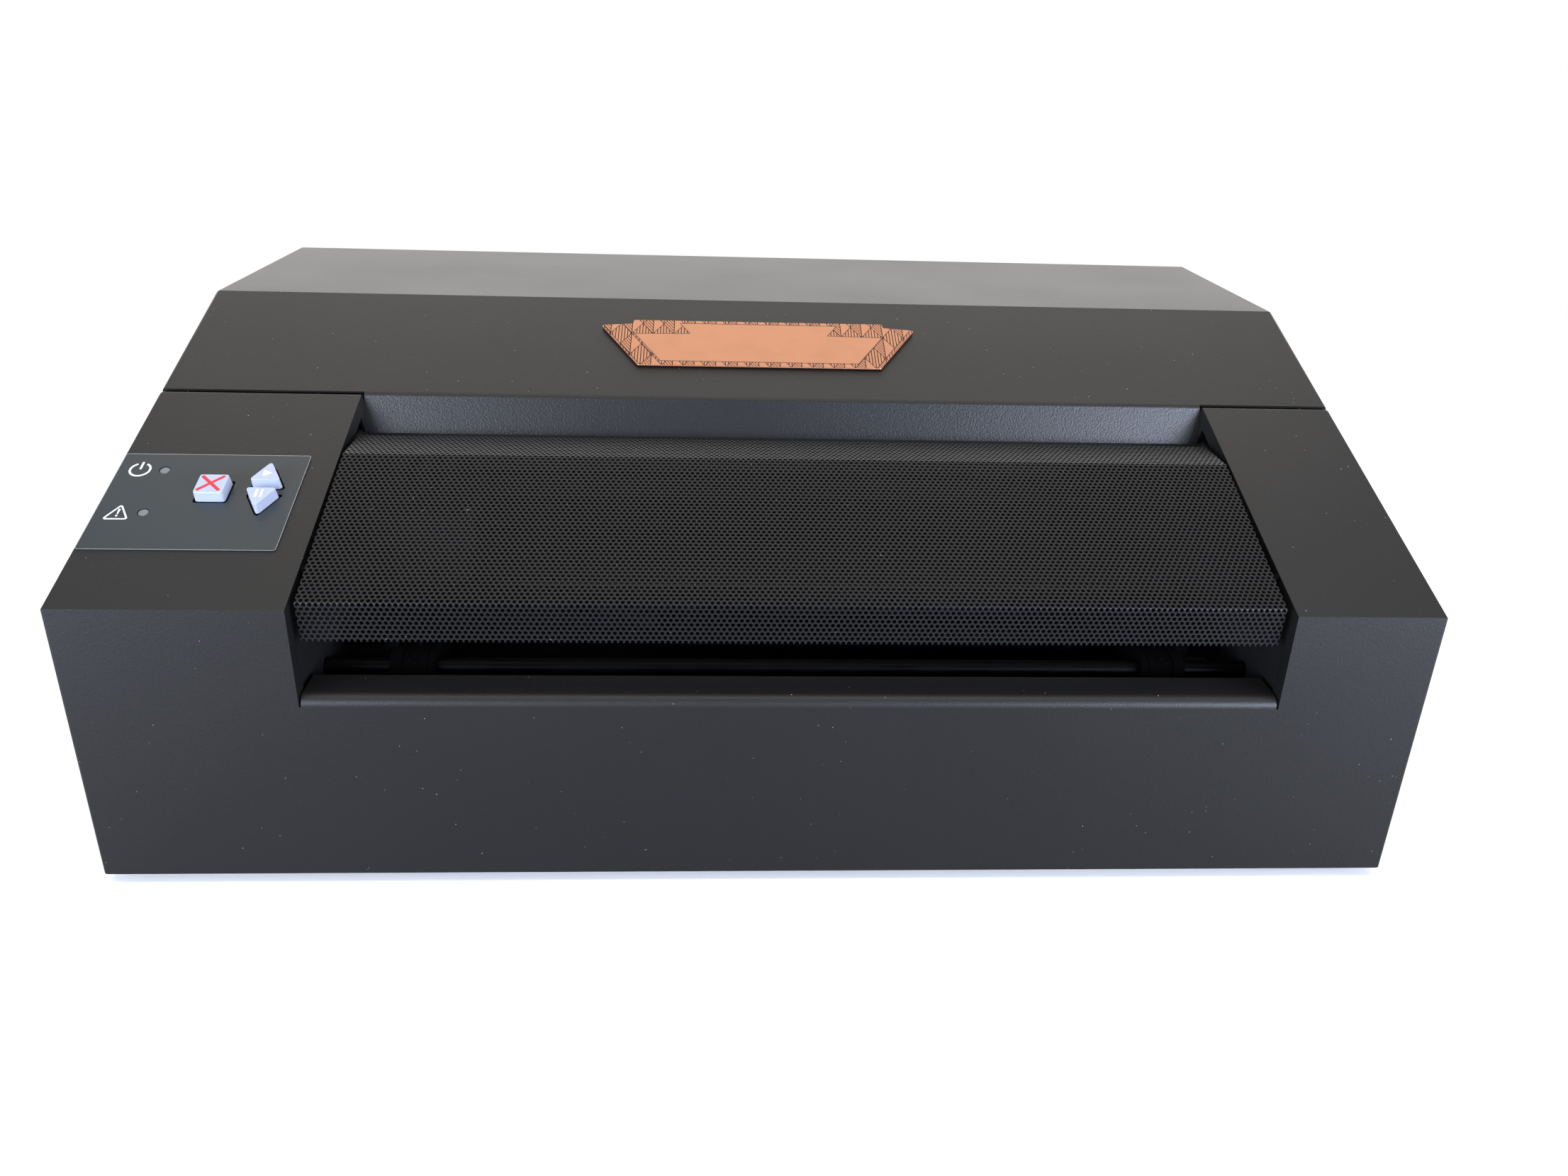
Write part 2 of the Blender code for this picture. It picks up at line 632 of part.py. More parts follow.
def make_lid():
    along = LID_FRONT / math.cos(SLOPE_ANGLE)
    fold = (BEND_DEPTH + SKIRT * math.tan(SLOPE_ANGLE / 2), CASE_HEIGHT - SKIRT)
    outline = [on_slope(along, SKIRT), on_slope(along), (BEND_DEPTH, CASE_HEIGHT),
               (CASE_DEPTH, CASE_HEIGHT), (CASE_DEPTH, CASE_HEIGHT - SKIRT), fold]
    shape = wrapped_sides(outline, kept=(1, 2, 3))
    half = CASE_WIDTH / 2
    shape.normal_update()
    left = NOTCH_LEFT + BAND_INSET
    right = NOTCH_RIGHT - BAND_INSET
    for edge in (left, right):
        slope = [f for f in shape.faces if f.normal.z > 0.5 and f.normal.y < -0.1]
        split(shape, slope, (edge, 0.0, 0.0), (1.0, 0.0, 0.0))
        shape.normal_update()
    start = on_slope(along)

    def is_lip(edge):
        a, b = edge_ends(edge)
        at_front = max(a.y, b.y) < start[0] + SEAT_GAP
        return at_front and left < (a.x + b.x) / 2 < right and abs(a.z - b.z) < SEAT_GAP

    lip = [e for e in shape.edges if e.is_boundary and is_lip(e)]
    first = math.pi + SLOPE_ANGLE
    last = math.pi * 3 / 2 - BAND_LEAN
    y, z = start
    heading = [first + (last - first) * (i + 0.5) / BEND_STEPS for i in range(BEND_STEPS)]
    step = BAND_RADIUS * (last - first) / BEND_STEPS
    runs = [(angle, step) for angle in heading] + [(last, BAND_HEIGHT - BAND_RADIUS)]
    for angle, length in runs:
        y += length * math.cos(angle)
        z += length * math.sin(angle)
        lip = draw_out(shape, lip, lambda co, y=y, z=z: Vector((co.x, y, z)))
        lip = [e for e in lip if e.is_boundary and abs(e.verts[0].co.x - e.verts[1].co.x) > SKIRT]
    corners = [v for e in lip for v in e.verts]
    bmesh.ops.bevel(shape, geom=corners, offset=BAND_CORNER, segments=2, profile=0.5,
                    affect="VERTICES", clamp_overlap=True)
    folds = [e for e in shape.edges
             if not e.is_boundary and all(abs(abs(v.co.x) - half) < SEAT_GAP for v in e.verts)]
    rear = [e for e in shape.edges if not e.is_boundary
            and all(v.co.y > CASE_DEPTH - SEAT_GAP and v.co.z > CASE_HEIGHT - SEAT_GAP for v in e.verts)]
    soften(shape, list(set(folds + rear)), SIDE_BEND)
    narrow = 1.0 - 2 * LID_SIDE_INSET / CASE_WIDTH
    bmesh.ops.scale(shape, verts=shape.verts, vec=(narrow, 1.0, 1.0))
    piece = add_piece("lid", shape, CASE_CORNER)
    thicken(piece, CASE_SHEET, -1.0)
    pivot_at(piece, HINGE_AXIS)
    finish(piece, DARK_COAT, 0.45, 0.3)


# Two butt hinges carry the lid on the rear panel, under the rear skirt's edge
KNUCKLE_RADIUS = 0.003
KNUCKLE_BORE = 0.00165
PIN_RADIUS = 0.00155
HINGE_DROP = 0.0035
HINGE_HEIGHT = CASE_HEIGHT - SKIRT - HINGE_DROP
HINGE_AXIS = (0.0, CASE_DEPTH - KNUCKLE_RADIUS, HINGE_HEIGHT)
HINGE_INSET = 0.105
HINGE_PLACE = RIGHT_EDGE - HINGE_INSET
HINGE_LENGTH = 0.060
LEAF_THICK = 0.0012
LEAF_HEIGHT = 0.016
KNUCKLE_GAP = 0.0004


def make_lid_hinges():
    third = HINGE_LENGTH / 3
    depth = HINGE_AXIS[1]
    panel_face = REAR_FACE + SEAT_GAP
    for side, middle in (("left", -HINGE_PLACE), ("right", HINGE_PLACE)):
        start = middle - HINGE_LENGTH / 2
        low = block("lid_hinge_base_" + side, (start, panel_face, HINGE_HEIGHT - LEAF_HEIGHT),
                    (start + HINGE_LENGTH, panel_face + LEAF_THICK, HINGE_HEIGHT - KNUCKLE_BORE))
        ends = [((start, depth, HINGE_HEIGHT), third), ((start + 2 * third, depth, HINGE_HEIGHT), third)]
        join(low, rods("base_knuckles_" + side, "X", ends, KNUCKLE_RADIUS, 12))
        middle_gap = (start + third - KNUCKLE_GAP, start + 2 * third + KNUCKLE_GAP)
        cut(low, block("base_gap_" + side,
                       (middle_gap[0], panel_face - OVERRUN, HINGE_HEIGHT - KNUCKLE_RADIUS - KNUCKLE_GAP),
                       (middle_gap[1], CASE_DEPTH + OVERRUN, HINGE_HEIGHT + KNUCKLE_RADIUS)))
        join(low, rod("hinge_pin_" + side, "X", (start, depth, HINGE_HEIGHT), HINGE_LENGTH, PIN_RADIUS, 12))
        finish(low, ZINC, 0.35, 1.0)

        skirt_face = CASE_DEPTH - CASE_SHEET - SEAT_GAP
        leaf_start = start + third
        lid_leaf = block("lid_hinge_leaf_" + side,
                         (leaf_start, skirt_face - LEAF_THICK, HINGE_HEIGHT + KNUCKLE_BORE),
                         (leaf_start + third, skirt_face, HINGE_HEIGHT + LEAF_HEIGHT))
        barrel_start = (leaf_start, depth, HINGE_HEIGHT)
        join(lid_leaf, rod("leaf_knuckle_" + side, "X", barrel_start, third, KNUCKLE_RADIUS, 12))
        bore_start = (leaf_start - OVERRUN, depth, HINGE_HEIGHT)
        cut(lid_leaf, rod("leaf_bore_" + side, "X", bore_start, third + 2 * OVERRUN, KNUCKLE_BORE, 12))
        pivot_at(lid_leaf, HINGE_AXIS)
        finish(lid_leaf, ZINC, 0.35, 1.0)


# The nameplate's blank on the lid: its ends run out to pointed wings, and its top is stepped
PLATE_CENTRE = 0.001
PLATE_THICK = 0.0016
PLATE_WING = 0.102
PLATE_STEP = 0.0812
PLATE_FOOT = 0.0763
PLATE_LOW = 0.2134
PLATE_TIP = 0.2572
PLATE_SIDE = 0.2597
PLATE_HIGH = 0.2639


def make_nameplate():
    right = [(PLATE_FOOT, PLATE_LOW), (PLATE_WING, PLATE_TIP), (PLATE_STEP, PLATE_SIDE), (PLATE_STEP, PLATE_HIGH)]
    outline = [(PLATE_CENTRE + x, s) for x, s in right]
    outline += [(PLATE_CENTRE - x, s) for x, s in reversed(right)]
    badge = plate("nameplate", "XY", [outline], FILM_GAP, PLATE_THICK, SLOPE)
    finish(badge, COPPER, 0.35, 1.0)


# The perforated cover: a bent sheet with a lip, punched with staggered round holes
HOLE_PITCH = 0.0220
HOLE_SHARE = 2.0 / 3.0
HOLE_SIDES = 6
HOLE_SWEEP = 2 * math.pi * (HOLE_SIDES - 1) / HOLE_SIDES
HOLE_TURN = math.radians(11.0)
COVER_BEND = 0.002
COVER_EDGE = 0.004


def hole_rows(width, length, margin_low, margin_high):
    """Staggered rows of holes that fill a panel between its margins."""
    rise = HOLE_PITCH * math.sqrt(3.0) / 2
    radius = HOLE_PITCH * HOLE_SHARE / 2
    free = length - margin_low - margin_high - 2 * radius
    rows = int(free / rise) + 1
    columns = int((width - 2 * COVER_EDGE - 2 * radius) / HOLE_PITCH)
    first = margin_low + radius + (free - (rows - 1) * rise) / 2
    loops = []
    for row in range(rows):
        count = columns + 1 - row % 2
        start = (width - (count - 1) * HOLE_PITCH) / 2
        for column in range(count):
            centre = (start + column * HOLE_PITCH, first + row * rise)
            loops.append(arc(centre, radius, HOLE_TURN, HOLE_TURN + HOLE_SWEEP, HOLE_SIDES - 1))
    return loops


def make_perforated_cover():
    width = COVER_RIGHT - COVER_LEFT
    corners = [LIP_BOTTOM, LIP_TOP, RIDGE, COVER_REAR]
    runs = []
    for low, high in zip(corners, corners[1:]):
        runs.append((Vector(low), (Vector(high) - Vector(low)).normalized(), (Vector(high) - Vector(low)).length))
    shape = bmesh.new()
    bends = []
    for index, (origin, heading, length) in enumerate(runs):
        start = COVER_BEND if index else 0.0
        end = length - (COVER_BEND if index < len(runs) - 1 else 0.0)
        outline = rectangle(0.0, width, start, end)
        loops = hole_rows(width, length, start + COVER_EDGE / 2, length - end + COVER_EDGE / 2)
        panel = filled([outline] + loops, 0.0)
        turn = Matrix(((1, 0, 0, COVER_LEFT), (0, heading.x, 0, origin.x), (0, heading.y, 0, origin.y),
                       (0, 0, 0, 1)))
        for vert in panel.verts:
            vert.co = turn @ vert.co
        mesh = bpy.data.meshes.new("panel")
        panel.to_mesh(mesh)
        panel.free()
        shape.from_mesh(mesh)
        bpy.data.meshes.remove(mesh)
        if index:
            bends.append((runs[index - 1][0] + runs[index - 1][1] * (runs[index - 1][2] - COVER_BEND),
                          origin, origin + heading * COVER_BEND))
    for before, corner, after in bends:
        middle = (before + after) / 4 + corner / 2
        path = [before, middle, after]
        left = [shape.verts.new((COVER_LEFT, p.x, p.y)) for p in path]
        right = [shape.verts.new((COVER_RIGHT, p.x, p.y)) for p in path]
        for i in range(len(path) - 1):
            shape.faces.new((left[i], right[i], right[i + 1], left[i + 1]))
    bmesh.ops.remove_doubles(shape, verts=shape.verts, dist=SEAT_GAP / 10)
    piece = add_piece("perforated_cover", shape, CASE_CORNER)
    thicken(piece, COVER_SHEET, -1.0)
    pivot_at(piece, COVER_AXIS)
    finish(piece, DARK_COAT, 0.5, 0.3)


# Brackets under the cover's rear ends, each with the stub it turns on
STUB_INSET = 0.004
STUB_DROP = 0.0085
COVER_AXIS = (0.0, COVER_REAR[0] - STUB_INSET, COVER_REAR[1] - STUB_DROP)
BRACKET_THICK = 0.0015
BRACKET_LENGTH = 0.024
BRACKET_WIDTH = 0.012
STUB_RADIUS = 0.0022


def make_cover_brackets():
    y, z = COVER_AXIS[1:]
    top = COVER_REAR[1] - COVER_SHEET - SEAT_GAP
    for side, edge, way in (("left", COVER_LEFT, 1), ("right", COVER_RIGHT, -1)):
        def span(a, b):
            return sorted((edge + way * a, edge + way * b))
        x_low, x_high = span(0.0, BRACKET_THICK)
        ear = block("cover_bracket_" + side, (x_low, y - BRACKET_LENGTH, z - 2 * STUB_RADIUS),
                    (x_high, y + 2 * STUB_RADIUS, top))
        x_low, x_high = span(BRACKET_THICK / 2, BRACKET_WIDTH)
        tab = block("bracket_tab_" + side, (x_low, y - BRACKET_LENGTH, top - BRACKET_THICK),
                    (x_high, COVER_REAR[0] - SEAT_GAP, top))
        wall = NOTCH_LEFT if way > 0 else NOTCH_RIGHT
        outer = wall - way * (CASE_SHEET + SEAT_GAP + FRAME_PLATE + SEAT_GAP)
        inner = edge + way * BRACKET_THICK / 2
        stub = rod("bracket_stub_" + side, "X", (min(outer, inner), y, z), abs(outer - inner), STUB_RADIUS, 12)
        join(ear, tab, stub)
        pivot_at(ear, COVER_AXIS)
        finish(ear, INNER_COAT, 0.5, 0.5)


# The base pan, and the rear panel with its openings
PAN_SHEET = 0.0012
PAN_RIM = 0.020
PAN_BEND = 0.0036
REAR_FACE = CASE_DEPTH - 2 * KNUCKLE_RADIUS - SEAT_GAP
REAR_TOP_GAP = 0.001
REAR_TOP = HINGE_HEIGHT - KNUCKLE_RADIUS - REAR_TOP_GAP
REAR_FLANGE = 0.014
SLOT_INSET = 0.002
SLOT_RISE = 0.023
SLOT_OPENING = 0.018
SLOT_LOW = SHAFT_HEIGHT + SLOT_RISE
SLOT_HIGH = SLOT_LOW + SLOT_OPENING
VENT_LENGTH = 0.060
VENT_WIDTH = 0.004
VENT_PITCH = 0.012
VENT_COUNT = 9
VENT_PLACES = (-0.200, 0.080)
VENT_DEPTH = 0.180
INNER_HALF = CASE_WIDTH / 2 - CASE_SHEET - SEAT_GAP


def make_base_pan():
    front = CASE_SHEET + SEAT_GAP
    back = REAR_FACE - CASE_SHEET - SEAT_GAP
    shape = bmesh.new()
    bmesh.ops.create_cube(shape, size=1.0)
    bmesh.ops.scale(shape, verts=shape.verts, vec=(2 * INNER_HALF, back - front, PAN_RIM))
    bmesh.ops.translate(shape, verts=shape.verts, vec=(0.0, (back + front) / 2, PAN_RIM / 2))
    top = [face for face in shape.faces if face.normal.z > 0.9]
    bmesh.ops.delete(shape, geom=top, context="FACES")
    uprights = [edge for edge in shape.edges if abs(edge.verts[0].co.z - edge.verts[1].co.z) > PAN_RIM / 2]
    soften(shape, uprights, PAN_BEND)
    pan = add_piece("base_pan", shape, CASE_CORNER)
    thicken(pan, PAN_SHEET, -1.0)
    vents = []
    for start in VENT_PLACES:
        for i in range(VENT_COUNT):
            x = start + i * VENT_PITCH
            vents.append(((x, VENT_DEPTH, -OVERRUN),
                          (x + VENT_WIDTH, VENT_DEPTH + VENT_LENGTH, PAN_SHEET + OVERRUN)))
    cut(pan, blocks("pan_vents", vents))
    inset = 2 * MAIN_POST
    posts = []
    for x in (MAIN_LOW[0] + inset, MAIN_HIGH[0] - inset):
        for y in (MAIN_LOW[1] + inset, MAIN_HIGH[1] - inset):
            posts.append(((x, y, PAN_SHEET / 2), MAIN_LEVEL - SEAT_GAP - PAN_SHEET / 2))
    join(pan, rods("board_posts", "Z", posts, MAIN_POST, 8))
    finish(pan, INNER_COAT, 0.5, 0.5)


# The cooling fan sits behind a slotted grille at the rear
FAN_INSET = 0.043
FAN_RISE = 0.064
FAN_CENTRE = (RIGHT_EDGE - FAN_INSET, FAN_RISE)
FAN_SIZE = 0.070
FAN_DEPTH = 0.025
FAN_BORE = 0.033
GRILLE_RADIUS = 0.0315
GRILLE_BAR = 0.0026
GRILLE_COUNT = 8


def grille_slots():
    """Level slots that fill a circle in front of the fan."""
    pitch = 2 * GRILLE_RADIUS / GRILLE_COUNT
    loops = []
    for i in range(GRILLE_COUNT):
        low = -GRILLE_RADIUS + i * pitch + GRILLE_BAR / 2
        high = low + pitch - GRILLE_BAR
        reach = math.sqrt(GRILLE_RADIUS ** 2 - ((low + high) / 2) ** 2)
        loops.append(rectangle(FAN_CENTRE[0] - reach, FAN_CENTRE[0] + reach,
                               FAN_CENTRE[1] + low, FAN_CENTRE[1] + high))
    return loops


def make_rear_panel():
    corners = rectangle(-INNER_HALF, INNER_HALF, 0.0, REAR_TOP)
    slot = rectangle(NOTCH_LEFT + SLOT_INSET, NOTCH_RIGHT - SLOT_INSET, SLOT_LOW, SLOT_HIGH)
    loops = [corners, slot] + grille_slots()
    loops.append(module_outline(MODULE_BODY, SEAT_GAP))
    loops += [socket_outline(socket, SEAT_GAP) for socket in SOCKETS]
    panel = plate("rear_panel", "XZ", loops, REAR_FACE - CASE_SHEET, CASE_SHEET)
    flange = block("rear_panel_flange", (-INNER_HALF, REAR_FACE - REAR_FLANGE, REAR_TOP - CASE_SHEET),
                   (INNER_HALF, REAR_FACE - CASE_SHEET / 2, REAR_TOP))
    join(panel, flange)
    finish(panel, DARK_COAT, 0.5, 0.3)


FAN_STRUT = 0.004
FAN_STRUT_THICK = 0.003
HUB_RADIUS = 0.016
HUB_DEPTH = 0.016
BLADE_COUNT = 7
BLADE_THICK = 0.0016
BLADE_CHORD = 0.014
BLADE_PITCH = math.radians(38.0)
BLADE_GAP = 0.0015


def make_fan():
    x, z = FAN_CENTRE
    half = FAN_SIZE / 2
    back = REAR_FACE - CASE_SHEET - SEAT_GAP
    front = back - FAN_DEPTH
    frame = plate("fan_frame", "XZ", [round_box(x - half, x + half, z - half, z + half, FAN_STRUT, 1),
                                      circle(FAN_CENTRE, FAN_BORE, 24)], front, FAN_DEPTH)
    arm = FAN_BORE + FAN_STRUT / 2
    struts = [((x - arm, front, z - FAN_STRUT / 2), (x + arm, front + FAN_STRUT_THICK, z + FAN_STRUT / 2))]
    upright = [((x - FAN_STRUT / 2, front, z - arm), (x + FAN_STRUT / 2, front + FAN_STRUT_THICK, z + arm))]
    disc = rod("fan_motor", "Y", (x, front, z), FAN_STRUT_THICK, HUB_RADIUS, 16)
    join(frame, blocks("fan_strut_level", struts), blocks("fan_strut_upright", upright), disc)
    finish(frame, BLACK_PLASTIC, 0.5, 0.0)

    hub_front = front + FAN_STRUT_THICK + SEAT_GAP
    rotor = rod("fan_rotor", "Y", (x, hub_front, z), HUB_DEPTH, HUB_RADIUS, 21)
    shape = bmesh.new()
    reach = FAN_BORE - BLADE_GAP - HUB_RADIUS + BLADE_THICK
    for i in range(BLADE_COUNT):
        made = bmesh.ops.create_cube(shape, size=1.0)
        bmesh.ops.scale(shape, verts=made["verts"], vec=(BLADE_CHORD, BLADE_THICK, reach))
        turn = Matrix.Rotation(BLADE_PITCH, 4, "Z")
        out = Matrix.Translation((0.0, 0.0, HUB_RADIUS - BLADE_THICK + reach / 2))
        spin = Matrix.Rotation(2 * math.pi * i / BLADE_COUNT, 4, "Y")
        place = Matrix.Translation((x, hub_front + HUB_DEPTH / 2, z))
        bmesh.ops.transform(shape, matrix=place @ spin @ out @ turn, verts=made["verts"])
    join(rotor, add_piece("fan_blades", shape, CASE_CORNER))
    pivot_at(rotor, (x, hub_front, z))
    finish(rotor, BLACK_PLASTIC, 0.4, 0.0)


# The power inlet module: a recessed inlet below a rocker switch, in one moulding
MODULE_INSET = 0.039
MODULE_RISE = 0.070
MODULE_CENTRE = (LEFT_EDGE + MODULE_INSET, MODULE_RISE)
MODULE_FLANGE = (0.034, 0.062)
MODULE_BODY = (0.028, 0.054)
MODULE_DEPTH = 0.026
MODULE_LIP = 0.0024
RECESS_WIDTH = 0.0240
RECESS_HEIGHT = 0.0165
RECESS_DEPTH = 0.0180
RECESS_DROP = 0.013
RECESS_CHAMFER = 0.004
POCKET_WIDTH = 0.0126
POCKET_HEIGHT = 0.0190
POCKET_DEPTH = 0.0100
POCKET_RISE = 0.0145


def module_outline(size, grow):
    """Rectangle of the module's body or flange."""
    x, z = MODULE_CENTRE
    half_x = size[0] / 2 + grow
    half_z = size[1] / 2 + grow
    return rectangle(x - half_x, x + half_x, z - half_z, z + half_z)


def make_power_inlet():
    x, z = MODULE_CENTRE
    face = REAR_FACE + SEAT_GAP + MODULE_LIP
    body = plate("power_inlet", "XZ", [module_outline(MODULE_BODY, 0.0)], face - MODULE_DEPTH,
                 MODULE_DEPTH - MODULE_LIP / 2)
    rim = plate("power_inlet_rim", "XZ", [module_outline(MODULE_FLANGE, 0.0)], REAR_FACE + SEAT_GAP, MODULE_LIP)
    low = z - RECESS_DROP - RECESS_HEIGHT / 2
    high = low + RECESS_HEIGHT
    half = RECESS_WIDTH / 2
    recess = [(x - half, low), (x + half, low), (x + half, high - RECESS_CHAMFER),
              (x + half - RECESS_CHAMFER, high), (x - half + RECESS_CHAMFER, high),
              (x - half, high - RECESS_CHAMFER)]
    socket = plate("inlet_recess", "XZ", [recess], face - RECESS_DEPTH, RECESS_DEPTH + OVERRUN)
    z_pocket = z + POCKET_RISE
    pocket = plate("rocker_pocket", "XZ",
                   [rectangle(x - POCKET_WIDTH / 2, x + POCKET_WIDTH / 2,
                              z_pocket - POCKET_HEIGHT / 2, z_pocket + POCKET_HEIGHT / 2)],
                   face - POCKET_DEPTH, POCKET_DEPTH + OVERRUN)
    join(body, rim)
    cut(body, socket, pocket)
    finish(body, BLACK_PLASTIC, 0.4, 0.0)


ROCKER_WIDTH = POCKET_WIDTH - 2 * SEAT_GAP
ROCKER_HALF = 0.0084
ROCKER_BACK = 0.0045
ROCKER_RISE = 0.0012
ROCKER_TILT = math.radians(8.0)
ROCKER_SINK = 0.0030


def make_power_rocker():
    x, z = MODULE_CENTRE
    axis = (x, REAR_FACE + SEAT_GAP + MODULE_LIP - ROCKER_SINK, z + POCKET_RISE)
    front = ROCKER_SINK + ROCKER_RISE
    outline = [(-ROCKER_BACK, -ROCKER_HALF / 2), (0.0, -ROCKER_HALF), (front, -ROCKER_HALF),
               (front - ROCKER_RISE, 0.0), (front, ROCKER_HALF), (0.0, ROCKER_HALF),
               (-ROCKER_BACK, ROCKER_HALF / 2)]
    tilt = math.cos(ROCKER_TILT), math.sin(ROCKER_TILT)
    placed = [(axis[1] + y * tilt[0] + h * tilt[1], axis[2] - y * tilt[1] + h * tilt[0]) for y, h in outline]
    rocker = plate("power_rocker", "YZ", [placed], x - ROCKER_WIDTH / 2, ROCKER_WIDTH)
    pivot_at(rocker, axis)
    finish(rocker, BLACK_PLASTIC, 0.3, 0.0)


# The main board stands on posts on the pan; its two sockets reach through the rear panel
MAIN_LEFT = -0.060
MAIN_WIDTH = 0.230
MAIN_DEPTH = 0.124
MAIN_REAR_GAP = 0.0217
MAIN_LOW = (MAIN_LEFT, REAR_FACE - MAIN_REAR_GAP - MAIN_DEPTH)
MAIN_HIGH = (MAIN_LEFT + MAIN_WIDTH, REAR_FACE - MAIN_REAR_GAP)
MAIN_CLEARANCE = 0.0015
MAIN_LEVEL = PAN_RIM + MAIN_CLEARANCE
MAIN_THICK = 0.0016
MAIN_POST = 0.003
USB_SOCKET = {"name": "usb_socket", "place": 0.110, "width": 0.0125, "height": 0.0115,
              "hole": (0.0088, 0.0080), "hollow": 0.009}
NETWORK_SOCKET = {"name": "network_socket", "place": 0.150, "width": 0.0165, "height": 0.0140,
                  "hole": (0.0120, 0.0088), "hollow": 0.012}
SOCKETS = (USB_SOCKET, NETWORK_SOCKET)
SOCKET_DEPTH = 0.021


def on_main(across, along):
    """A place on the main board, given from its front left corner."""
    return MAIN_LOW[0] + across, MAIN_LOW[1] + along


def socket_outline(socket, grow):
    """Rectangle of a socket's shell, standing on the main board."""
    low = MAIN_LEVEL + MAIN_THICK + SEAT_GAP
    half = socket["width"] / 2 + grow
    x = MAIN_LEFT + socket["place"]
    return rectangle(x - half, x + half, low - grow, low + socket["height"] + grow)


def make_sockets():
    for socket in SOCKETS:
        back = REAR_FACE - SOCKET_DEPTH
        shell = plate(socket["name"], "XZ", [socket_outline(socket, 0.0)], back, SOCKET_DEPTH)
        x = MAIN_LEFT + socket["place"]
        z = MAIN_LEVEL + MAIN_THICK + SEAT_GAP + socket["height"] / 2
        wide, high = socket["hole"]
        mouth = plate(socket["name"] + "_mouth", "XZ",
                      [rectangle(x - wide / 2, x + wide / 2, z - high / 2, z + high / 2)],
                      REAR_FACE - socket["hollow"], socket["hollow"] + OVERRUN)
        cut(shell, mouth)
        finish(shell, ZINC, 0.3, 1.0)


CHIP_HEIGHT = 0.0028
CHIPS = (((0.030, 0.030), (0.026, 0.026)), ((0.090, 0.050), (0.030, 0.012)), ((0.090, 0.072), (0.018, 0.010)),
         ((0.150, 0.052), (0.018, 0.010)), ((0.020, 0.092), (0.014, 0.014)))
SINK_LOW = on_main(0.172, 0.012)
SINK_HIGH = on_main(0.222, 0.092)
SINK_BASE = 0.004
SINK_HEIGHT = 0.026
SINK_FINS = 7
SINK_FIN = 0.0018
CAPACITORS = ((0.016, 0.062), (0.016, 0.076), (0.060, 0.104), (0.076, 0.104))
CAPACITOR_RADIUS = 0.005
CAPACITOR_HEIGHT = 0.018


def make_main_board():
    board = plate("main_board", "XY", [rectangle(MAIN_LOW[0], MAIN_HIGH[0], MAIN_LOW[1], MAIN_HIGH[1])],
                  MAIN_LEVEL, MAIN_THICK)
    sunk = MAIN_LEVEL + MAIN_THICK / 2
    top = MAIN_LEVEL + MAIN_THICK
    chips = []
    for (across, along), (wide, deep) in CHIPS:
        chips.append(((*on_main(across, along), sunk),
                      (*on_main(across + wide, along + deep), top + CHIP_HEIGHT)))
    cans = [((*on_main(*place), sunk), CAPACITOR_HEIGHT + MAIN_THICK / 2) for place in CAPACITORS]
    sink = block("heat_sink", (*SINK_LOW, sunk), (*SINK_HIGH, top + SINK_HEIGHT))
    pitch = (SINK_HIGH[0] - SINK_LOW[0] - SINK_FIN) / (SINK_FINS - 1)
    gaps = []
    for i in range(SINK_FINS - 1):
        x = SINK_LOW[0] + SINK_FIN + i * pitch
        gaps.append(((x, SINK_LOW[1] - OVERRUN, top + SINK_BASE),
                     (x + pitch - SINK_FIN, SINK_HIGH[1] + OVERRUN, top + SINK_HEIGHT + OVERRUN)))
    cut(sink, blocks("heat_sink_gaps", gaps))
    join(board, blocks("board_chips", chips), rods("board_capacitors", "Z", cans, CAPACITOR_RADIUS, 10), sink)
    finish(board, BOARD_GREEN, 0.4, 0.0)


SUPPLY_GAP = 0.012
SUPPLY_LENGTH = 0.160
SUPPLY_WIDTH = 0.100
SUPPLY_LOW = (MAIN_LEFT - SUPPLY_GAP - SUPPLY_LENGTH, MAIN_LOW[1])
SUPPLY_HIGH = (MAIN_LEFT - SUPPLY_GAP, MAIN_LOW[1] + SUPPLY_WIDTH)
SUPPLY_HEIGHT = 0.042
SUPPLY_SHELL = 0.001
SUPPLY_SLOTS = 8
TERMINAL_DEPTH = 0.014


def make_power_supply():
    low = PAN_SHEET + SEAT_GAP
    body = block("power_supply", (*SUPPLY_LOW, low), (*SUPPLY_HIGH, low + SUPPLY_HEIGHT))
    end = block("terminal_step", (SUPPLY_HIGH[0] - TERMINAL_DEPTH, SUPPLY_LOW[1] - OVERRUN, low + SUPPLY_HEIGHT / 3),
                (SUPPLY_HIGH[0] + OVERRUN, SUPPLY_HIGH[1] + OVERRUN, low + SUPPLY_HEIGHT + OVERRUN))
    span = SUPPLY_HIGH[0] - SUPPLY_LOW[0] - 2 * TERMINAL_DEPTH
    pitch = span / SUPPLY_SLOTS
    slots = []
    for i in range(SUPPLY_SLOTS):
        x = SUPPLY_LOW[0] + TERMINAL_DEPTH / 2 + i * pitch
        slots.append(((x, SUPPLY_LOW[1] + TERMINAL_DEPTH, low + SUPPLY_HEIGHT - SUPPLY_SHELL),
                      (x + pitch / 3, SUPPLY_HIGH[1] - TERMINAL_DEPTH, low + SUPPLY_HEIGHT + OVERRUN)))
    cut(body, end, blocks("supply_slots", slots))
    finish(body, ZINC, 0.4, 1.0)


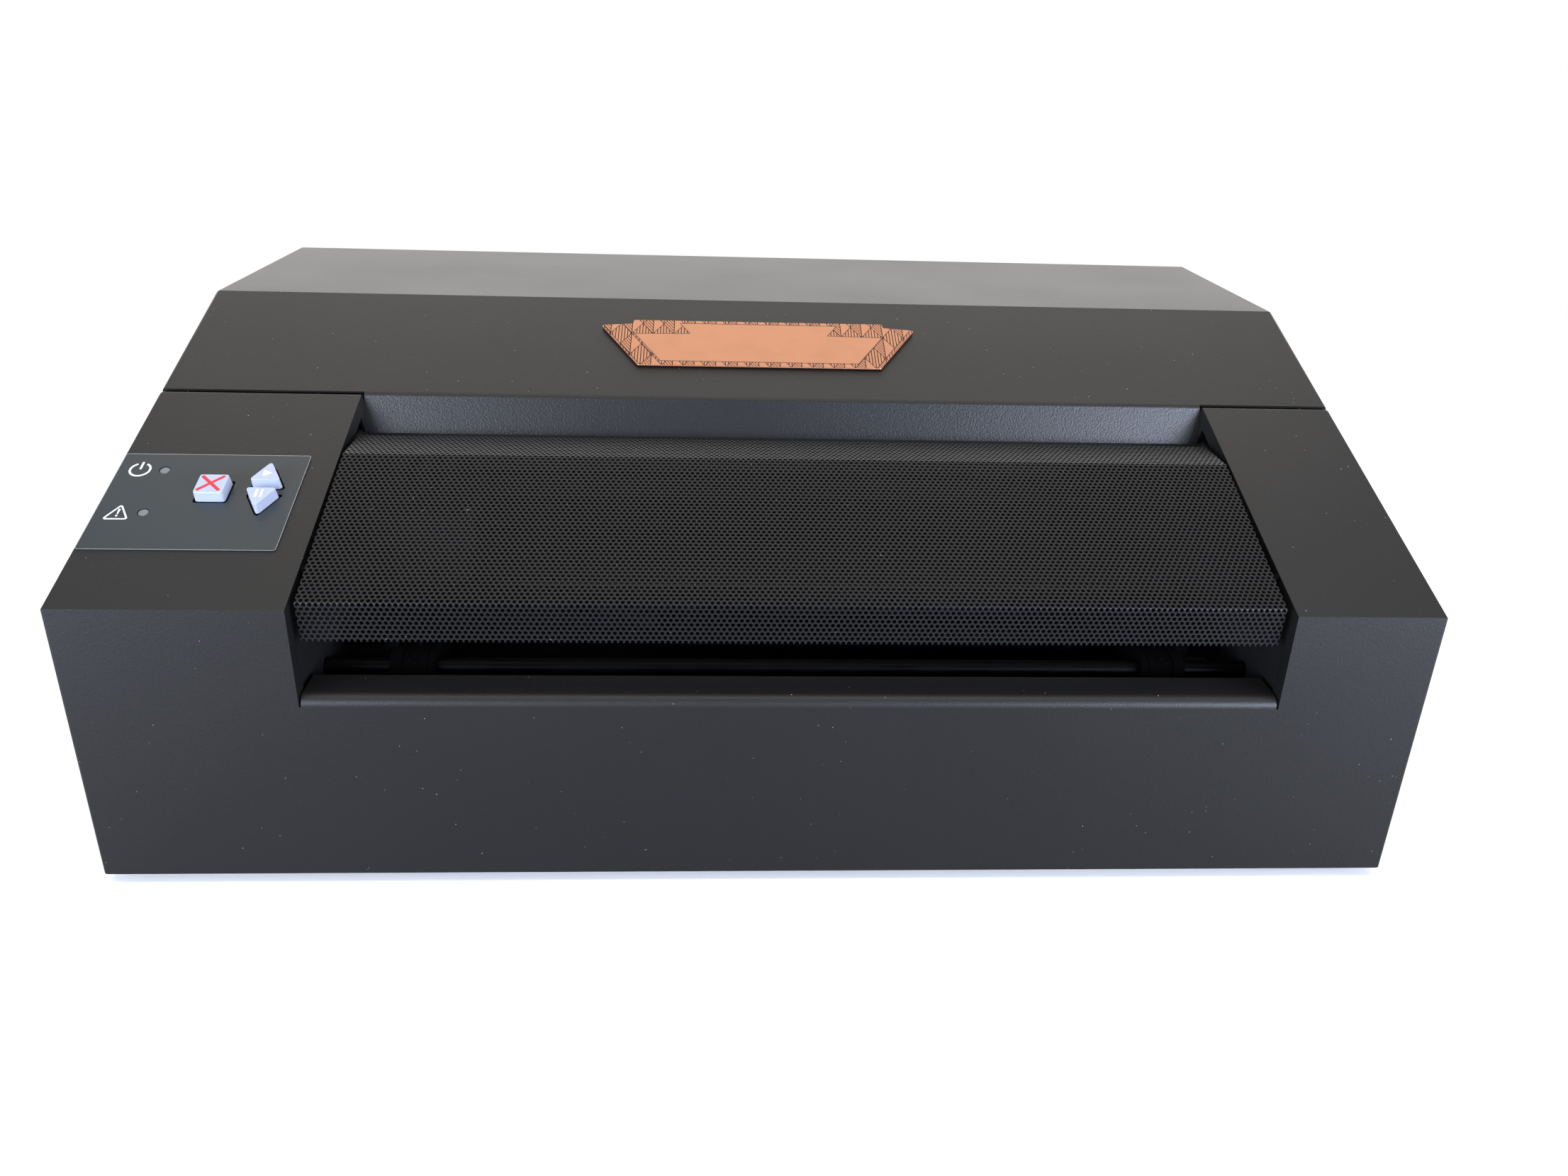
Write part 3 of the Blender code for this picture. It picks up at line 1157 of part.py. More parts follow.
# The mechanism's side plates stand on the pan just outside the notch
FRAME_PLATE = 0.002
FRAME_FRONT = 0.013
FRAME_BACK = 0.250
FRAME_BACK_DROP = 0.060
FRAME_BACK_TOP = CASE_HEIGHT - FRAME_BACK_DROP
FRAME_TOP_DROP = 0.005
FRAME_FOOT = 0.014
RAIL_RADIUS = 0.005
ROD_RADIUS = 0.005
SHAFT_SIZE = 0.008
SHAFT_END = 0.0038
BELT_LEVEL = RAIL_HEIGHT
BELT_FRONT = 0.1820
BELT_WIDTH = 0.006
PULLEY_RADIUS = 0.008
BELT_THICK = 0.0014
BELT_SLOT = 0.003
DIE_FRONT = 0.132
DIE_BACK = 0.150
DIE_RISE = 0.011
DIE_HEIGHT = 0.017
DIE_TOP = SHAFT_HEIGHT + DIE_RISE
DIE_LOW = DIE_TOP - DIE_HEIGHT
MOTOR_SIZE = 0.042
FEED_MOTOR_SIZE = 0.035
BOSS_RADIUS = 0.011

# Pin belts and gears: the belt's length sets how far the guide rod is from the shaft
PIN_PITCH = 0.0127
PIN_COUNT = 11
BELT_RING = 0.0096
RING_THICK = 0.0012
RING_MIDDLE = BELT_RING + RING_THICK / 2
ROD_DEPTH = SHAFT_DEPTH - (PIN_COUNT * PIN_PITCH - 2 * math.pi * RING_MIDDLE) / 2
GEAR_MODULE = 0.0015
GEAR_TEETH = 36
PINION_TEETH = 12
GEAR_DISTANCE = GEAR_MODULE * (GEAR_TEETH + PINION_TEETH) / 2
MOTOR_HEIGHT = SHAFT_HEIGHT - GEAR_DISTANCE

LEFT_PLATE = NOTCH_LEFT - CASE_SHEET - SEAT_GAP
RIGHT_PLATE = NOTCH_RIGHT + CASE_SHEET + SEAT_GAP


def make_frame_plates():
    foot = PAN_SHEET + SEAT_GAP
    top_front = slope_z(FRAME_FRONT) - FRAME_TOP_DROP / math.cos(SLOPE_ANGLE)
    top_end = (FRAME_BACK_TOP - top_front) / math.tan(SLOPE_ANGLE) + FRAME_FRONT
    edge = foot + SEAT_GAP
    outline = [(FRAME_FRONT, edge), (FRAME_BACK, edge), (FRAME_BACK, FRAME_BACK_TOP),
               (top_end, FRAME_BACK_TOP), (FRAME_FRONT, top_front)]
    holes = [circle((SHAFT_DEPTH, SHAFT_HEIGHT), SHAFT_END + SEAT_GAP, 16),
             circle((ROD_DEPTH, SHAFT_HEIGHT), ROD_RADIUS + SEAT_GAP, 16),
             circle((RAIL_FRONT_DEPTH, RAIL_HEIGHT), RAIL_RADIUS + SEAT_GAP, 16),
             circle((RAIL_REAR_DEPTH, RAIL_HEIGHT), RAIL_RADIUS + SEAT_GAP, 16),
             circle(COVER_AXIS[1:], STUB_RADIUS + SEAT_GAP, 12),
             rectangle(BELT_FRONT - BELT_SLOT, BELT_FRONT + BELT_WIDTH + BELT_SLOT,
                       BELT_LEVEL - PULLEY_RADIUS - BELT_SLOT, BELT_LEVEL + PULLEY_RADIUS + BELT_SLOT),
             rectangle(DIE_FRONT - SEAT_GAP, DIE_BACK + SEAT_GAP, DIE_LOW - SEAT_GAP, DIE_TOP + SEAT_GAP)]
    boss = circle((SHAFT_DEPTH, MOTOR_HEIGHT), BOSS_RADIUS + SEAT_GAP, 16)
    for name, inner, way in (("frame_plate_left", LEFT_PLATE, -1), ("frame_plate_right", RIGHT_PLATE, 1)):
        loops = [outline] + holes + ([boss] if way > 0 else [])
        side = plate(name, "YZ", loops, min(inner, inner + way * FRAME_PLATE), FRAME_PLATE)
        outer = inner + way * FRAME_FOOT
        middle = inner + way * FRAME_PLATE / 2
        ledge = block(name + "_foot", (min(outer, middle), FRAME_FRONT + FRAME_PLATE, foot),
                      (max(outer, middle), FRAME_BACK - FRAME_PLATE, foot + FRAME_PLATE))
        join(side, ledge)
        finish(side, INNER_COAT, 0.5, 0.5)


def make_rails():
    start = LEFT_PLATE - FRAME_PLATE
    length = RIGHT_PLATE + FRAME_PLATE - start
    for name, depth, height, radius in (("carriage_rail_front", RAIL_FRONT_DEPTH, RAIL_HEIGHT, RAIL_RADIUS),
                                        ("carriage_rail_rear", RAIL_REAR_DEPTH, RAIL_HEIGHT, RAIL_RADIUS),
                                        ("tractor_guide_rod", ROD_DEPTH, SHAFT_HEIGHT, ROD_RADIUS)):
        finish(rod(name, "X", (start, depth, height), length, radius, 16), STEEL, 0.2, 1.0, smooth=True)


DIE_GROOVE = 0.0008
DIE_GROOVES = 3
DOT_SPACING = 0.0025


def make_die_bar():
    start = LEFT_PLATE - FRAME_PLATE
    length = RIGHT_PLATE + FRAME_PLATE - start
    middle = (DIE_FRONT + DIE_BACK) / 2
    outline = [(DIE_FRONT, DIE_LOW), (DIE_BACK, DIE_LOW), (DIE_BACK, DIE_TOP)]
    for i in range(DIE_GROOVES):
        y = middle + (1 - i) * DOT_SPACING
        outline += [(y + DIE_GROOVE, DIE_TOP), (y, DIE_TOP - DIE_GROOVE), (y - DIE_GROOVE, DIE_TOP)]
    outline.append((DIE_FRONT, DIE_TOP))
    finish(plate("die_bar", "YZ", [outline], start, length), STEEL, 0.3, 1.0)


# The carriage runs on both rails and carries the embossing head
CARRIAGE_PARK = 0.0415
CARRIAGE_REST = NOTCH_LEFT + CARRIAGE_PARK
CARRIAGE_HALF = 0.032
CARRIAGE_FRONT = 0.108
CARRIAGE_BACK = 0.174
CARRIAGE_WALL = 0.011
CARRIAGE_LOW = RAIL_HEIGHT - CARRIAGE_WALL
CARRIAGE_TOP = RAIL_HEIGHT + CARRIAGE_WALL
RAIL_CLEARANCE = 0.00006
HEAD_HALF = 0.021
HEAD_FRONT = 0.1285
HEAD_BACK = 0.1535
HEAD_GAP = 0.0055
HEAD_LOW = DIE_TOP + HEAD_GAP
HEAD_FLANGE = 0.003
HEAD_FLANGE_REACH = 0.004
COIL_RADIUS = 0.0055
COIL_HEIGHT = 0.016
COIL_COLUMNS = 3
CLAMP_HALF = 0.012
CLAMP_DROP = 0.0035
CLAMP_HEIGHT = 0.011
CLAMP_TOP = RAIL_HEIGHT - CLAMP_DROP
CLAMP_LOW = CLAMP_TOP - CLAMP_HEIGHT
CLAMP_BACK = 0.191
EMBOSS_PIN = 0.0008
EMBOSS_HOLE = 0.0011
PIN_GAP = 0.0012
PIN_TIP = DIE_TOP + PIN_GAP
YOKE_RISE = 0.006
YOKE_THICK = 0.003
YOKE_MARGIN = 0.002
YOKE_DROP = 0.0014
PIN_COLUMN_SHARES = (-0.5, 0.5)


def emboss_pin_places():
    """Six pins in a braille cell's two columns and three rows, in line with the grooves."""
    middle = (DIE_FRONT + DIE_BACK) / 2
    places = []
    for share in PIN_COLUMN_SHARES:
        for row in range(DIE_GROOVES):
            places.append((CARRIAGE_REST + share * DOT_SPACING, middle + (1 - row) * DOT_SPACING))
    return places


def make_carriage():
    x = CARRIAGE_REST
    left = x - CARRIAGE_HALF
    body = block("head_carriage", (left, CARRIAGE_FRONT, CARRIAGE_LOW),
                 (x + CARRIAGE_HALF, CARRIAGE_BACK, CARRIAGE_TOP))
    join(body, block("belt_clamp", (x - CLAMP_HALF, CARRIAGE_BACK - OVERRUN, CLAMP_LOW),
                     (x + CLAMP_HALF, CLAMP_BACK, CLAMP_TOP)))
    width = 2 * (CARRIAGE_HALF + OVERRUN)
    bore = RAIL_RADIUS + RAIL_CLEARANCE
    bores = [((left - OVERRUN, RAIL_FRONT_DEPTH, RAIL_HEIGHT), width),
             ((left - OVERRUN, RAIL_REAR_DEPTH, RAIL_HEIGHT), width)]
    well = block("head_well", (x - HEAD_HALF - SEAT_GAP, HEAD_FRONT - SEAT_GAP, CARRIAGE_LOW - OVERRUN),
                 (x + HEAD_HALF + SEAT_GAP, HEAD_BACK + SEAT_GAP, CARRIAGE_TOP + OVERRUN))
    run = BELT_LEVEL - PULLEY_RADIUS
    belt = block("belt_slot", (x - CLAMP_HALF - OVERRUN, BELT_FRONT - SEAT_GAP, run - BELT_THICK - SEAT_GAP),
                 (x + CLAMP_HALF + OVERRUN, BELT_FRONT + BELT_WIDTH + SEAT_GAP, run + SEAT_GAP))
    cut(body, rods("rail_bores", "X", bores, bore, 16), well, belt)
    finish(body, ALUMINIUM, 0.4, 1.0)

    head = block("embossing_head", (x - HEAD_HALF, HEAD_FRONT, HEAD_LOW), (x + HEAD_HALF, HEAD_BACK, CARRIAGE_TOP))
    seat = CARRIAGE_TOP + SEAT_GAP
    reach = HEAD_FLANGE_REACH
    flange = block("head_flange", (x - HEAD_HALF - reach, HEAD_FRONT - reach, seat),
                   (x + HEAD_HALF + reach, HEAD_BACK + reach, seat + HEAD_FLANGE))
    neck = block("head_neck", (x - HEAD_HALF + reach, HEAD_FRONT + reach, CARRIAGE_TOP - reach),
                 (x + HEAD_HALF - reach, HEAD_BACK - reach, seat + HEAD_FLANGE / 2))
    coils = []
    pitch = 2 * HEAD_HALF / COIL_COLUMNS
    for column in range(COIL_COLUMNS):
        for y in (HEAD_FRONT + COIL_RADIUS, HEAD_BACK - COIL_RADIUS):
            place = (x - HEAD_HALF + (column + 0.5) * pitch, y, seat + HEAD_FLANGE / 2)
            coils.append((place, COIL_HEIGHT + HEAD_FLANGE / 2))
    join(head, neck, flange, rods("head_coils", "Z", coils, COIL_RADIUS, 12))
    yoke_low = HEAD_LOW + YOKE_RISE
    yoke_top = yoke_low + YOKE_THICK
    holes = [((px, py, HEAD_LOW - OVERRUN), YOKE_RISE + OVERRUN) for px, py in emboss_pin_places()]
    middle = (DIE_FRONT + DIE_BACK) / 2
    wide = DOT_SPACING / 2 + YOKE_MARGIN
    deep = DOT_SPACING + YOKE_MARGIN
    window = block("yoke_window", (x - wide - SEAT_GAP, HEAD_FRONT - OVERRUN, yoke_low - YOKE_DROP),
                   (x + wide + SEAT_GAP, middle + deep + SEAT_GAP, yoke_top + SEAT_GAP))
    cut(head, window, rods("pin_holes", "Z", holes, EMBOSS_HOLE, 8))
    finish(head, BLACK_PLASTIC, 0.4, 0.0)
    pins = [((px, py, PIN_TIP), yoke_low + YOKE_THICK / 2 - PIN_TIP) for px, py in emboss_pin_places()]
    yoke = block("embossing_pins", (x - wide, middle - deep, yoke_low), (x + wide, middle + deep, yoke_top))
    join(yoke, rods("pin_row", "Z", pins, EMBOSS_PIN, 8))
    finish(yoke, STEEL, 0.2, 1.0)
    for piece in (body, head, bpy.data.objects["embossing_pins"]):
        pivot_at(piece, (x, (CARRIAGE_FRONT + CARRIAGE_BACK) / 2, RAIL_HEIGHT))


# The carriage belt runs the width of the machine between the motor's pulley and the idler
DRIVE_OUT = 0.0545
IDLER_OUT = 0.0435
DRIVE_X = NOTCH_LEFT - DRIVE_OUT
IDLER_X = NOTCH_RIGHT + IDLER_OUT
FLANGE_RADIUS = 0.010
FLANGE_THICK = 0.001
PULLEY_SIDES = 16
MOTOR_LENGTH = 0.040
MOTOR_SHAFT = 0.0025
MOTOR_BORE = 0.0030
BRACKET_SHEET = 0.002
BRACKET_RISE = 0.026
BRACKET_TOP = RAIL_HEIGHT + BRACKET_RISE
BRACKET_FOOT = 0.030
DRIVE_BRACKET_HALF = 0.034
IDLER_BRACKET_HALF = 0.022
IDLER_AXLE = 0.003
BRACKET_GAP = 0.006
BRACKET_FACE = BELT_FRONT + BELT_WIDTH + BRACKET_GAP
BOSS_HEIGHT = 0.002
MOTOR_CHAMFER = 0.005


def pulley(name, x, bore, shaft_length):
    """A flanged belt pulley; with no bore it is made in one with the motor's shaft."""
    z = BELT_LEVEL
    wheel = PULLEY_RADIUS - SEAT_GAP
    low = BELT_FRONT - FLANGE_THICK
    high = BELT_FRONT + BELT_WIDTH + FLANGE_THICK
    piece = rod(name, "Y", (x, low + FLANGE_THICK / 2, z), high - low - FLANGE_THICK, wheel, PULLEY_SIDES)
    flanges = [((x, low - SEAT_GAP, z), FLANGE_THICK), ((x, high - FLANGE_THICK + SEAT_GAP, z), FLANGE_THICK)]
    join(piece, rods(name + "_flanges", "Y", flanges, FLANGE_RADIUS, PULLEY_SIDES))
    if bore:
        through = ((x, low - OVERRUN, z), high - low + 2 * OVERRUN)
        cut(piece, rods(name + "_bore", "Y", [through], bore, 12))
    else:
        stem = ((x, BELT_FRONT + BELT_WIDTH / 2, z), shaft_length)
        join(piece, rods(name + "_shaft", "Y", [stem], MOTOR_SHAFT, 12))
    pivot_at(piece, (x, BELT_FRONT, z))
    finish(piece, ALUMINIUM, 0.35, 1.0)


def chamfered_square(centre, half, chamfer):
    """A motor's square face with its corners taken off."""
    a, b = centre
    inner = half - chamfer
    return [(a - half, b - inner), (a - inner, b - half), (a + inner, b - half), (a + half, b - inner),
            (a + half, b + inner), (a + inner, b + half), (a - inner, b + half), (a - half, b + inner)]


def make_carriage_drive():
    z = BELT_LEVEL
    outer = PULLEY_RADIUS + BELT_THICK
    loops = [stadium((DRIVE_X, z), (IDLER_X, z), outer, 8), stadium((DRIVE_X, z), (IDLER_X, z), PULLEY_RADIUS, 8)]
    finish(plate("carriage_belt", "XZ", loops, BELT_FRONT, BELT_WIDTH), RUBBER, 0.7, 0.0)
    foot = PAN_SHEET + SEAT_GAP
    back = BRACKET_FACE + BRACKET_SHEET
    motor_face = back + SEAT_GAP
    for name, x, half in (("carriage_motor_bracket", DRIVE_X, DRIVE_BRACKET_HALF),
                          ("idler_bracket", IDLER_X, IDLER_BRACKET_HALF)):
        loops = [rectangle(x - half, x + half, foot, BRACKET_TOP)]
        if x == DRIVE_X:
            loops.append(circle((x, z), BOSS_RADIUS + SEAT_GAP, 16))
        stand = plate(name, "XZ", loops, BRACKET_FACE, BRACKET_SHEET)
        join(stand, block(name + "_foot", (x - half, BRACKET_FACE + BRACKET_SHEET / 2, foot),
                          (x + half, back + BRACKET_FOOT, foot + BRACKET_SHEET)))
        if x == IDLER_X:
            start = BELT_FRONT - FLANGE_THICK
            join(stand, rod("idler_axle", "Y", (x, start, z), BRACKET_FACE + BRACKET_SHEET / 2 - start,
                            IDLER_AXLE, 12))
        finish(stand, ZINC, 0.4, 1.0)
    motor = plate("carriage_motor", "XZ", [chamfered_square((DRIVE_X, z), MOTOR_SIZE / 2, MOTOR_CHAMFER)],
                  motor_face, MOTOR_LENGTH)
    join(motor, rod("carriage_motor_boss", "Y", (DRIVE_X, motor_face - BOSS_HEIGHT, z), 2 * BOSS_HEIGHT,
                    BOSS_RADIUS, 16))
    cut(motor, rod("carriage_motor_bore", "Y", (DRIVE_X, motor_face - 2 * BOSS_HEIGHT, z), 6 * BOSS_HEIGHT,
                   MOTOR_BORE, 12))
    finish(motor, MOTOR_BLACK, 0.4, 0.6)
    reach = motor_face + 2 * BOSS_HEIGHT - BELT_FRONT - BELT_WIDTH / 2
    pulley("drive_pulley", DRIVE_X, None, reach)
    pulley("idler_pulley", IDLER_X, IDLER_AXLE + SEAT_GAP, 0.0)


# The feed: a square shaft, driven through a gear pair by the motor behind the right plate
PRESSURE_ANGLE = math.radians(25.0)
TOOTH_SHARE = 0.46
ADDENDUM_SHARE = 0.90
DEDENDUM_SHARE = 1.20
GEAR_GAP = 0.003
GEAR_START = RIGHT_PLATE + FRAME_PLATE + GEAR_GAP
GEAR_WIDTH = 0.008
PINION_WIDTH = 0.010


def involute(angle):
    """Involute function of a pressure angle."""
    return math.tan(angle) - angle


def gear_outline(teeth, centre, phase):
    """Outline of a spur gear with involute flanks."""
    pitch = GEAR_MODULE * teeth / 2
    base = pitch * math.cos(PRESSURE_ANGLE)
    tip = pitch + ADDENDUM_SHARE * GEAR_MODULE
    root = pitch - DEDENDUM_SHARE * GEAR_MODULE
    half_tooth = TOOTH_SHARE * math.pi / teeth
    levels = [max(base, root), pitch, tip]
    flank = []
    for radius in levels:
        lean = math.acos(min(1.0, base / radius))
        flank.append((radius, half_tooth + involute(PRESSURE_ANGLE) - involute(lean)))
    points = []
    for tooth in range(teeth):
        middle = phase + 2 * math.pi * tooth / teeth
        rising = [(root, flank[0][1])] + flank
        for radius, turn in rising:
            points.append((radius, middle - turn))
        for radius, turn in reversed(rising):
            points.append((radius, middle + turn))
    return [(centre[0] + r * math.cos(a), centre[1] + r * math.sin(a)) for r, a in points]


def make_feed():
    y, z = SHAFT_DEPTH, SHAFT_HEIGHT
    half = SHAFT_SIZE / 2
    start = LEFT_PLATE + SEAT_GAP
    end = RIGHT_PLATE - SEAT_GAP
    shaft = block("tractor_shaft", (start, y - half, z - half), (end, y + half, z + half))
    left_end = LEFT_PLATE - FRAME_PLATE
    right_end = GEAR_START + GEAR_WIDTH
    join(shaft, rod("shaft_journals", "X", (left_end, y, z), right_end - left_end, SHAFT_END, 16))
    pivot_at(shaft, (0.0, y, z))
    finish(shaft, STEEL, 0.3, 1.0)
    gear_loops = [gear_outline(GEAR_TEETH, (y, z), -math.pi / 2),
                  circle((y, z), SHAFT_END + SEAT_GAP, 16)]
    gear = plate("shaft_gear", "YZ", gear_loops, GEAR_START, GEAR_WIDTH)
    pivot_at(gear, (0.0, y, z))
    finish(gear, (0.75, 0.73, 0.66), 0.5, 0.0)

    motor_z = MOTOR_HEIGHT
    phase = math.pi / 2 + math.pi / PINION_TEETH
    pinion = plate("motor_pinion", "YZ", [gear_outline(PINION_TEETH, (y, motor_z), phase)],
                   GEAR_START - (PINION_WIDTH - GEAR_WIDTH) / 2, PINION_WIDTH)
    stem_start = RIGHT_PLATE - 2 * BOSS_HEIGHT
    join(pinion, rod("pinion_shaft", "X", (stem_start, y, motor_z), GEAR_START + PINION_WIDTH / 2 - stem_start,
                     MOTOR_SHAFT, 12))
    pivot_at(pinion, (0.0, y, motor_z))
    finish(pinion, ZINC, 0.35, 1.0)
    face = RIGHT_PLATE - SEAT_GAP
    motor = plate("feed_motor", "YZ", [chamfered_square((y, motor_z), FEED_MOTOR_SIZE / 2, MOTOR_CHAMFER)],
                  face - MOTOR_LENGTH, MOTOR_LENGTH)
    join(motor, rod("feed_motor_boss", "X", (face - BOSS_HEIGHT, y, motor_z), 2 * BOSS_HEIGHT, BOSS_RADIUS, 16))
    cut(motor, rod("feed_motor_bore", "X", (face - 4 * BOSS_HEIGHT, y, motor_z), 6 * BOSS_HEIGHT, MOTOR_BORE, 12))
    finish(motor, MOTOR_BLACK, 0.4, 0.6)


# The pin tractors: body, pin belt, sprocket and paper gate on each side
TRACTOR_IN_LEFT = 0.0475
TRACTOR_IN_RIGHT = 0.0485
TRACTOR_PLACES = {"left": NOTCH_LEFT + TRACTOR_IN_LEFT, "right": NOTCH_RIGHT - TRACTOR_IN_RIGHT}
CHEEK_START = 0.006
CHEEK_THICK = 0.006
INNER_CHEEK = 0.0115
INNER_CHEEK_THICK = 0.0035
CHEEK_RADIUS = 0.0122
INNER_CHEEK_RADIUS = BELT_RING + RING_THICK - SEAT_GAP
RING_GAP = 0.0005
CORE_END = 0.014
PIN_FOOT = 0.0019
PIN_POINT = 0.0011
PIN_HEIGHT = 0.0024
PIN_SIDES = 6
SPROCKET_GROOVES = 9
GROOVE_SHARE = 0.88
GATE_LIFT = 0.0012
GATE_THICK = 0.0022
GATE_INSET = 0.004
GATE_REACH = 0.006
GATE_FRONT = ROD_DEPTH + GATE_INSET
GATE_BACK = SHAFT_DEPTH + GATE_REACH
GATE_SLOT = 0.0032
BARREL_RADIUS = 0.0026
STUB_PIN = 0.0012
LUG_THICK = 0.004


def belt_pins(centre_x, facing):
    """Pins set round the belt at the pitch of the paper's holes."""
    straight = SHAFT_DEPTH - ROD_DEPTH
    ring = math.pi * RING_MIDDLE
    outer = BELT_RING + RING_THICK / 2
    shape = bmesh.new()
    for i in range(PIN_COUNT):
        run = i * PIN_PITCH + PIN_PITCH / 2
        if run < straight:
            y, z, lean = ROD_DEPTH + run, SHAFT_HEIGHT + outer, 0.0
        elif run < straight + ring:
            lean = (run - straight) / RING_MIDDLE
            y, z = SHAFT_DEPTH + outer * math.sin(lean), SHAFT_HEIGHT + outer * math.cos(lean)
        elif run < 2 * straight + ring:
            y, z, lean = SHAFT_DEPTH - (run - straight - ring), SHAFT_HEIGHT - outer, math.pi
        else:
            lean = math.pi + (run - 2 * straight - ring) / RING_MIDDLE
            y, z = ROD_DEPTH + outer * math.sin(lean), SHAFT_HEIGHT + outer * math.cos(lean)
        height = PIN_HEIGHT + RING_THICK / 2
        made = bmesh.ops.create_cone(shape, cap_ends=True, segments=PIN_SIDES, radius1=PIN_FOOT,
                                     radius2=PIN_POINT, depth=height)
        turn = Matrix.Rotation(-lean, 4, "X") @ Matrix.Translation((0.0, 0.0, height / 2))
        bmesh.ops.transform(shape, matrix=Matrix.Translation((centre_x, y, z)) @ turn, verts=made["verts"])
    return add_piece("belt_pins_" + facing, shape, CASE_CORNER)


def make_tractor(side, way):
    """One tractor; way points from its belt to the paper's outer edge."""
    x = TRACTOR_PLACES[side]
    drive = (SHAFT_DEPTH, SHAFT_HEIGHT)
    idle = (ROD_DEPTH, SHAFT_HEIGHT)

    def outward(start, length):
        low = x + way * start
        high = low + way * length
        return min(low, high), abs(length)

    def layer(name, loops, start, length):
        low, thick = outward(start, length)
        return plate(name, "YZ", loops, low, thick)

    body = layer("tractor_body_" + side, [stadium(idle, drive, CHEEK_RADIUS, 8)], CHEEK_START, CHEEK_THICK)
    inner = layer("tractor_inner_cheek_" + side, [stadium(idle, drive, INNER_CHEEK_RADIUS, 8)],
                  -INNER_CHEEK, INNER_CHEEK_THICK)
    core_end = (SHAFT_DEPTH - CORE_END, SHAFT_HEIGHT)
    radius = BELT_RING - SEAT_GAP
    core = arc(idle, radius, math.pi / 2, math.pi * 3 / 2, 8)
    core += [(core_end[0], SHAFT_HEIGHT - radius), (core_end[0], SHAFT_HEIGHT + radius)]
    sunk = CHEEK_THICK / 3
    middle = layer("tractor_core_" + side, [core], -INNER_CHEEK + sunk, INNER_CHEEK - sunk + CHEEK_START + sunk)
    hinge_x = x + way * (CHEEK_START + CHEEK_THICK + BARREL_RADIUS / 2)
    gate_low = SHAFT_HEIGHT + BELT_RING + RING_THICK + PIN_HEIGHT + GATE_LIFT
    hinge_z = gate_low + GATE_THICK / 2
    lug_low, lug_width = outward(CHEEK_START + CHEEK_THICK / 2, CHEEK_THICK / 2 + 1.5 * BARREL_RADIUS)
    lugs = []
    for y in (GATE_FRONT - SEAT_GAP - LUG_THICK, GATE_BACK + SEAT_GAP):
        lugs.append(((lug_low, y, SHAFT_HEIGHT + CHEEK_RADIUS / 2),
                     (lug_low + lug_width, y + LUG_THICK, hinge_z + BARREL_RADIUS)))
    join(body, inner, middle, blocks("gate_lugs_" + side, lugs))
    span = (x - CHEEK_RADIUS * 2, CHEEK_RADIUS * 4)
    through = rod("rod_bore_" + side, "X", (span[0], *idle), span[1], ROD_RADIUS + SEAT_GAP, 16)
    around = rod("shaft_bore_" + side, "X", (span[0], *drive), span[1], SHAFT_SIZE * math.sqrt(0.5) + SEAT_GAP, 16)
    pin_length = GATE_BACK - GATE_FRONT + 2 * (LUG_THICK + OVERRUN)
    hinge = rod("gate_bore_" + side, "Y", (hinge_x, GATE_FRONT - LUG_THICK - OVERRUN, hinge_z), pin_length,
                STUB_PIN + SEAT_GAP, 10)
    cut(body, through, around, hinge)
    pivot_at(body, (x, ROD_DEPTH, SHAFT_HEIGHT))
    finish(body, BLACK_PLASTIC, 0.45, 0.0)

    ring_low = -INNER_CHEEK + INNER_CHEEK_THICK + RING_GAP
    ring_width = CHEEK_START - RING_GAP - ring_low
    ring = layer("pin_belt_" + side, [stadium(idle, drive, BELT_RING + RING_THICK, 8),
                                      stadium(idle, drive, BELT_RING, 8)], ring_low, ring_width)
    pin_x = x + way * (ring_low + ring_width / 2)
    join(ring, belt_pins(pin_x, side))
    pivot_at(ring, (x, ROD_DEPTH, SHAFT_HEIGHT))
    finish(ring, RUBBER, 0.6, 0.0)

    tip = BELT_RING - SEAT_GAP
    teeth = []
    for i in range(SPROCKET_GROOVES):
        turn = 2 * math.pi * i / SPROCKET_GROOVES
        quarter = math.pi / SPROCKET_GROOVES / 2
        for share, reach in ((-1.5, GROOVE_SHARE), (-0.9, 1.0), (0.9, 1.0), (1.5, GROOVE_SHARE)):
            angle = turn + share * quarter
            teeth.append((drive[0] + tip * reach * math.cos(angle), drive[1] + tip * reach * math.sin(angle)))
    bore = SHAFT_SIZE / 2 + SEAT_GAP
    square = rectangle(drive[0] - bore, drive[0] + bore, drive[1] - bore, drive[1] + bore)
    wheel = layer("tractor_sprocket_" + side, [teeth, square], ring_low, ring_width)
    pivot_at(wheel, (x, *drive))
    finish(wheel, (0.70, 0.68, 0.62), 0.5, 0.0)

    gate_start = -INNER_CHEEK
    low, width = outward(gate_start, CHEEK_START + CHEEK_THICK + INNER_CHEEK)
    slot_low, slot_width = outward(ring_low + ring_width / 2 - GATE_SLOT, 2 * GATE_SLOT)
    gate = plate("paper_gate_" + side, "XY",
                 [rectangle(low, low + width, GATE_FRONT, GATE_BACK),
                  rectangle(slot_low, slot_low + slot_width, GATE_FRONT + LUG_THICK, GATE_BACK - LUG_THICK)],
                 gate_low, GATE_THICK)
    barrel = rod("gate_barrel_" + side, "Y", (hinge_x, GATE_FRONT, hinge_z), GATE_BACK - GATE_FRONT,
                 BARREL_RADIUS, 10)
    stubs = rod("gate_stubs_" + side, "Y", (hinge_x, GATE_FRONT - LUG_THICK, hinge_z),
                GATE_BACK - GATE_FRONT + 2 * LUG_THICK, STUB_PIN, 10)
    join(gate, barrel, stubs)
    pivot_at(gate, (hinge_x, GATE_FRONT, hinge_z))
    finish(gate, BLACK_PLASTIC, 0.4, 0.0)


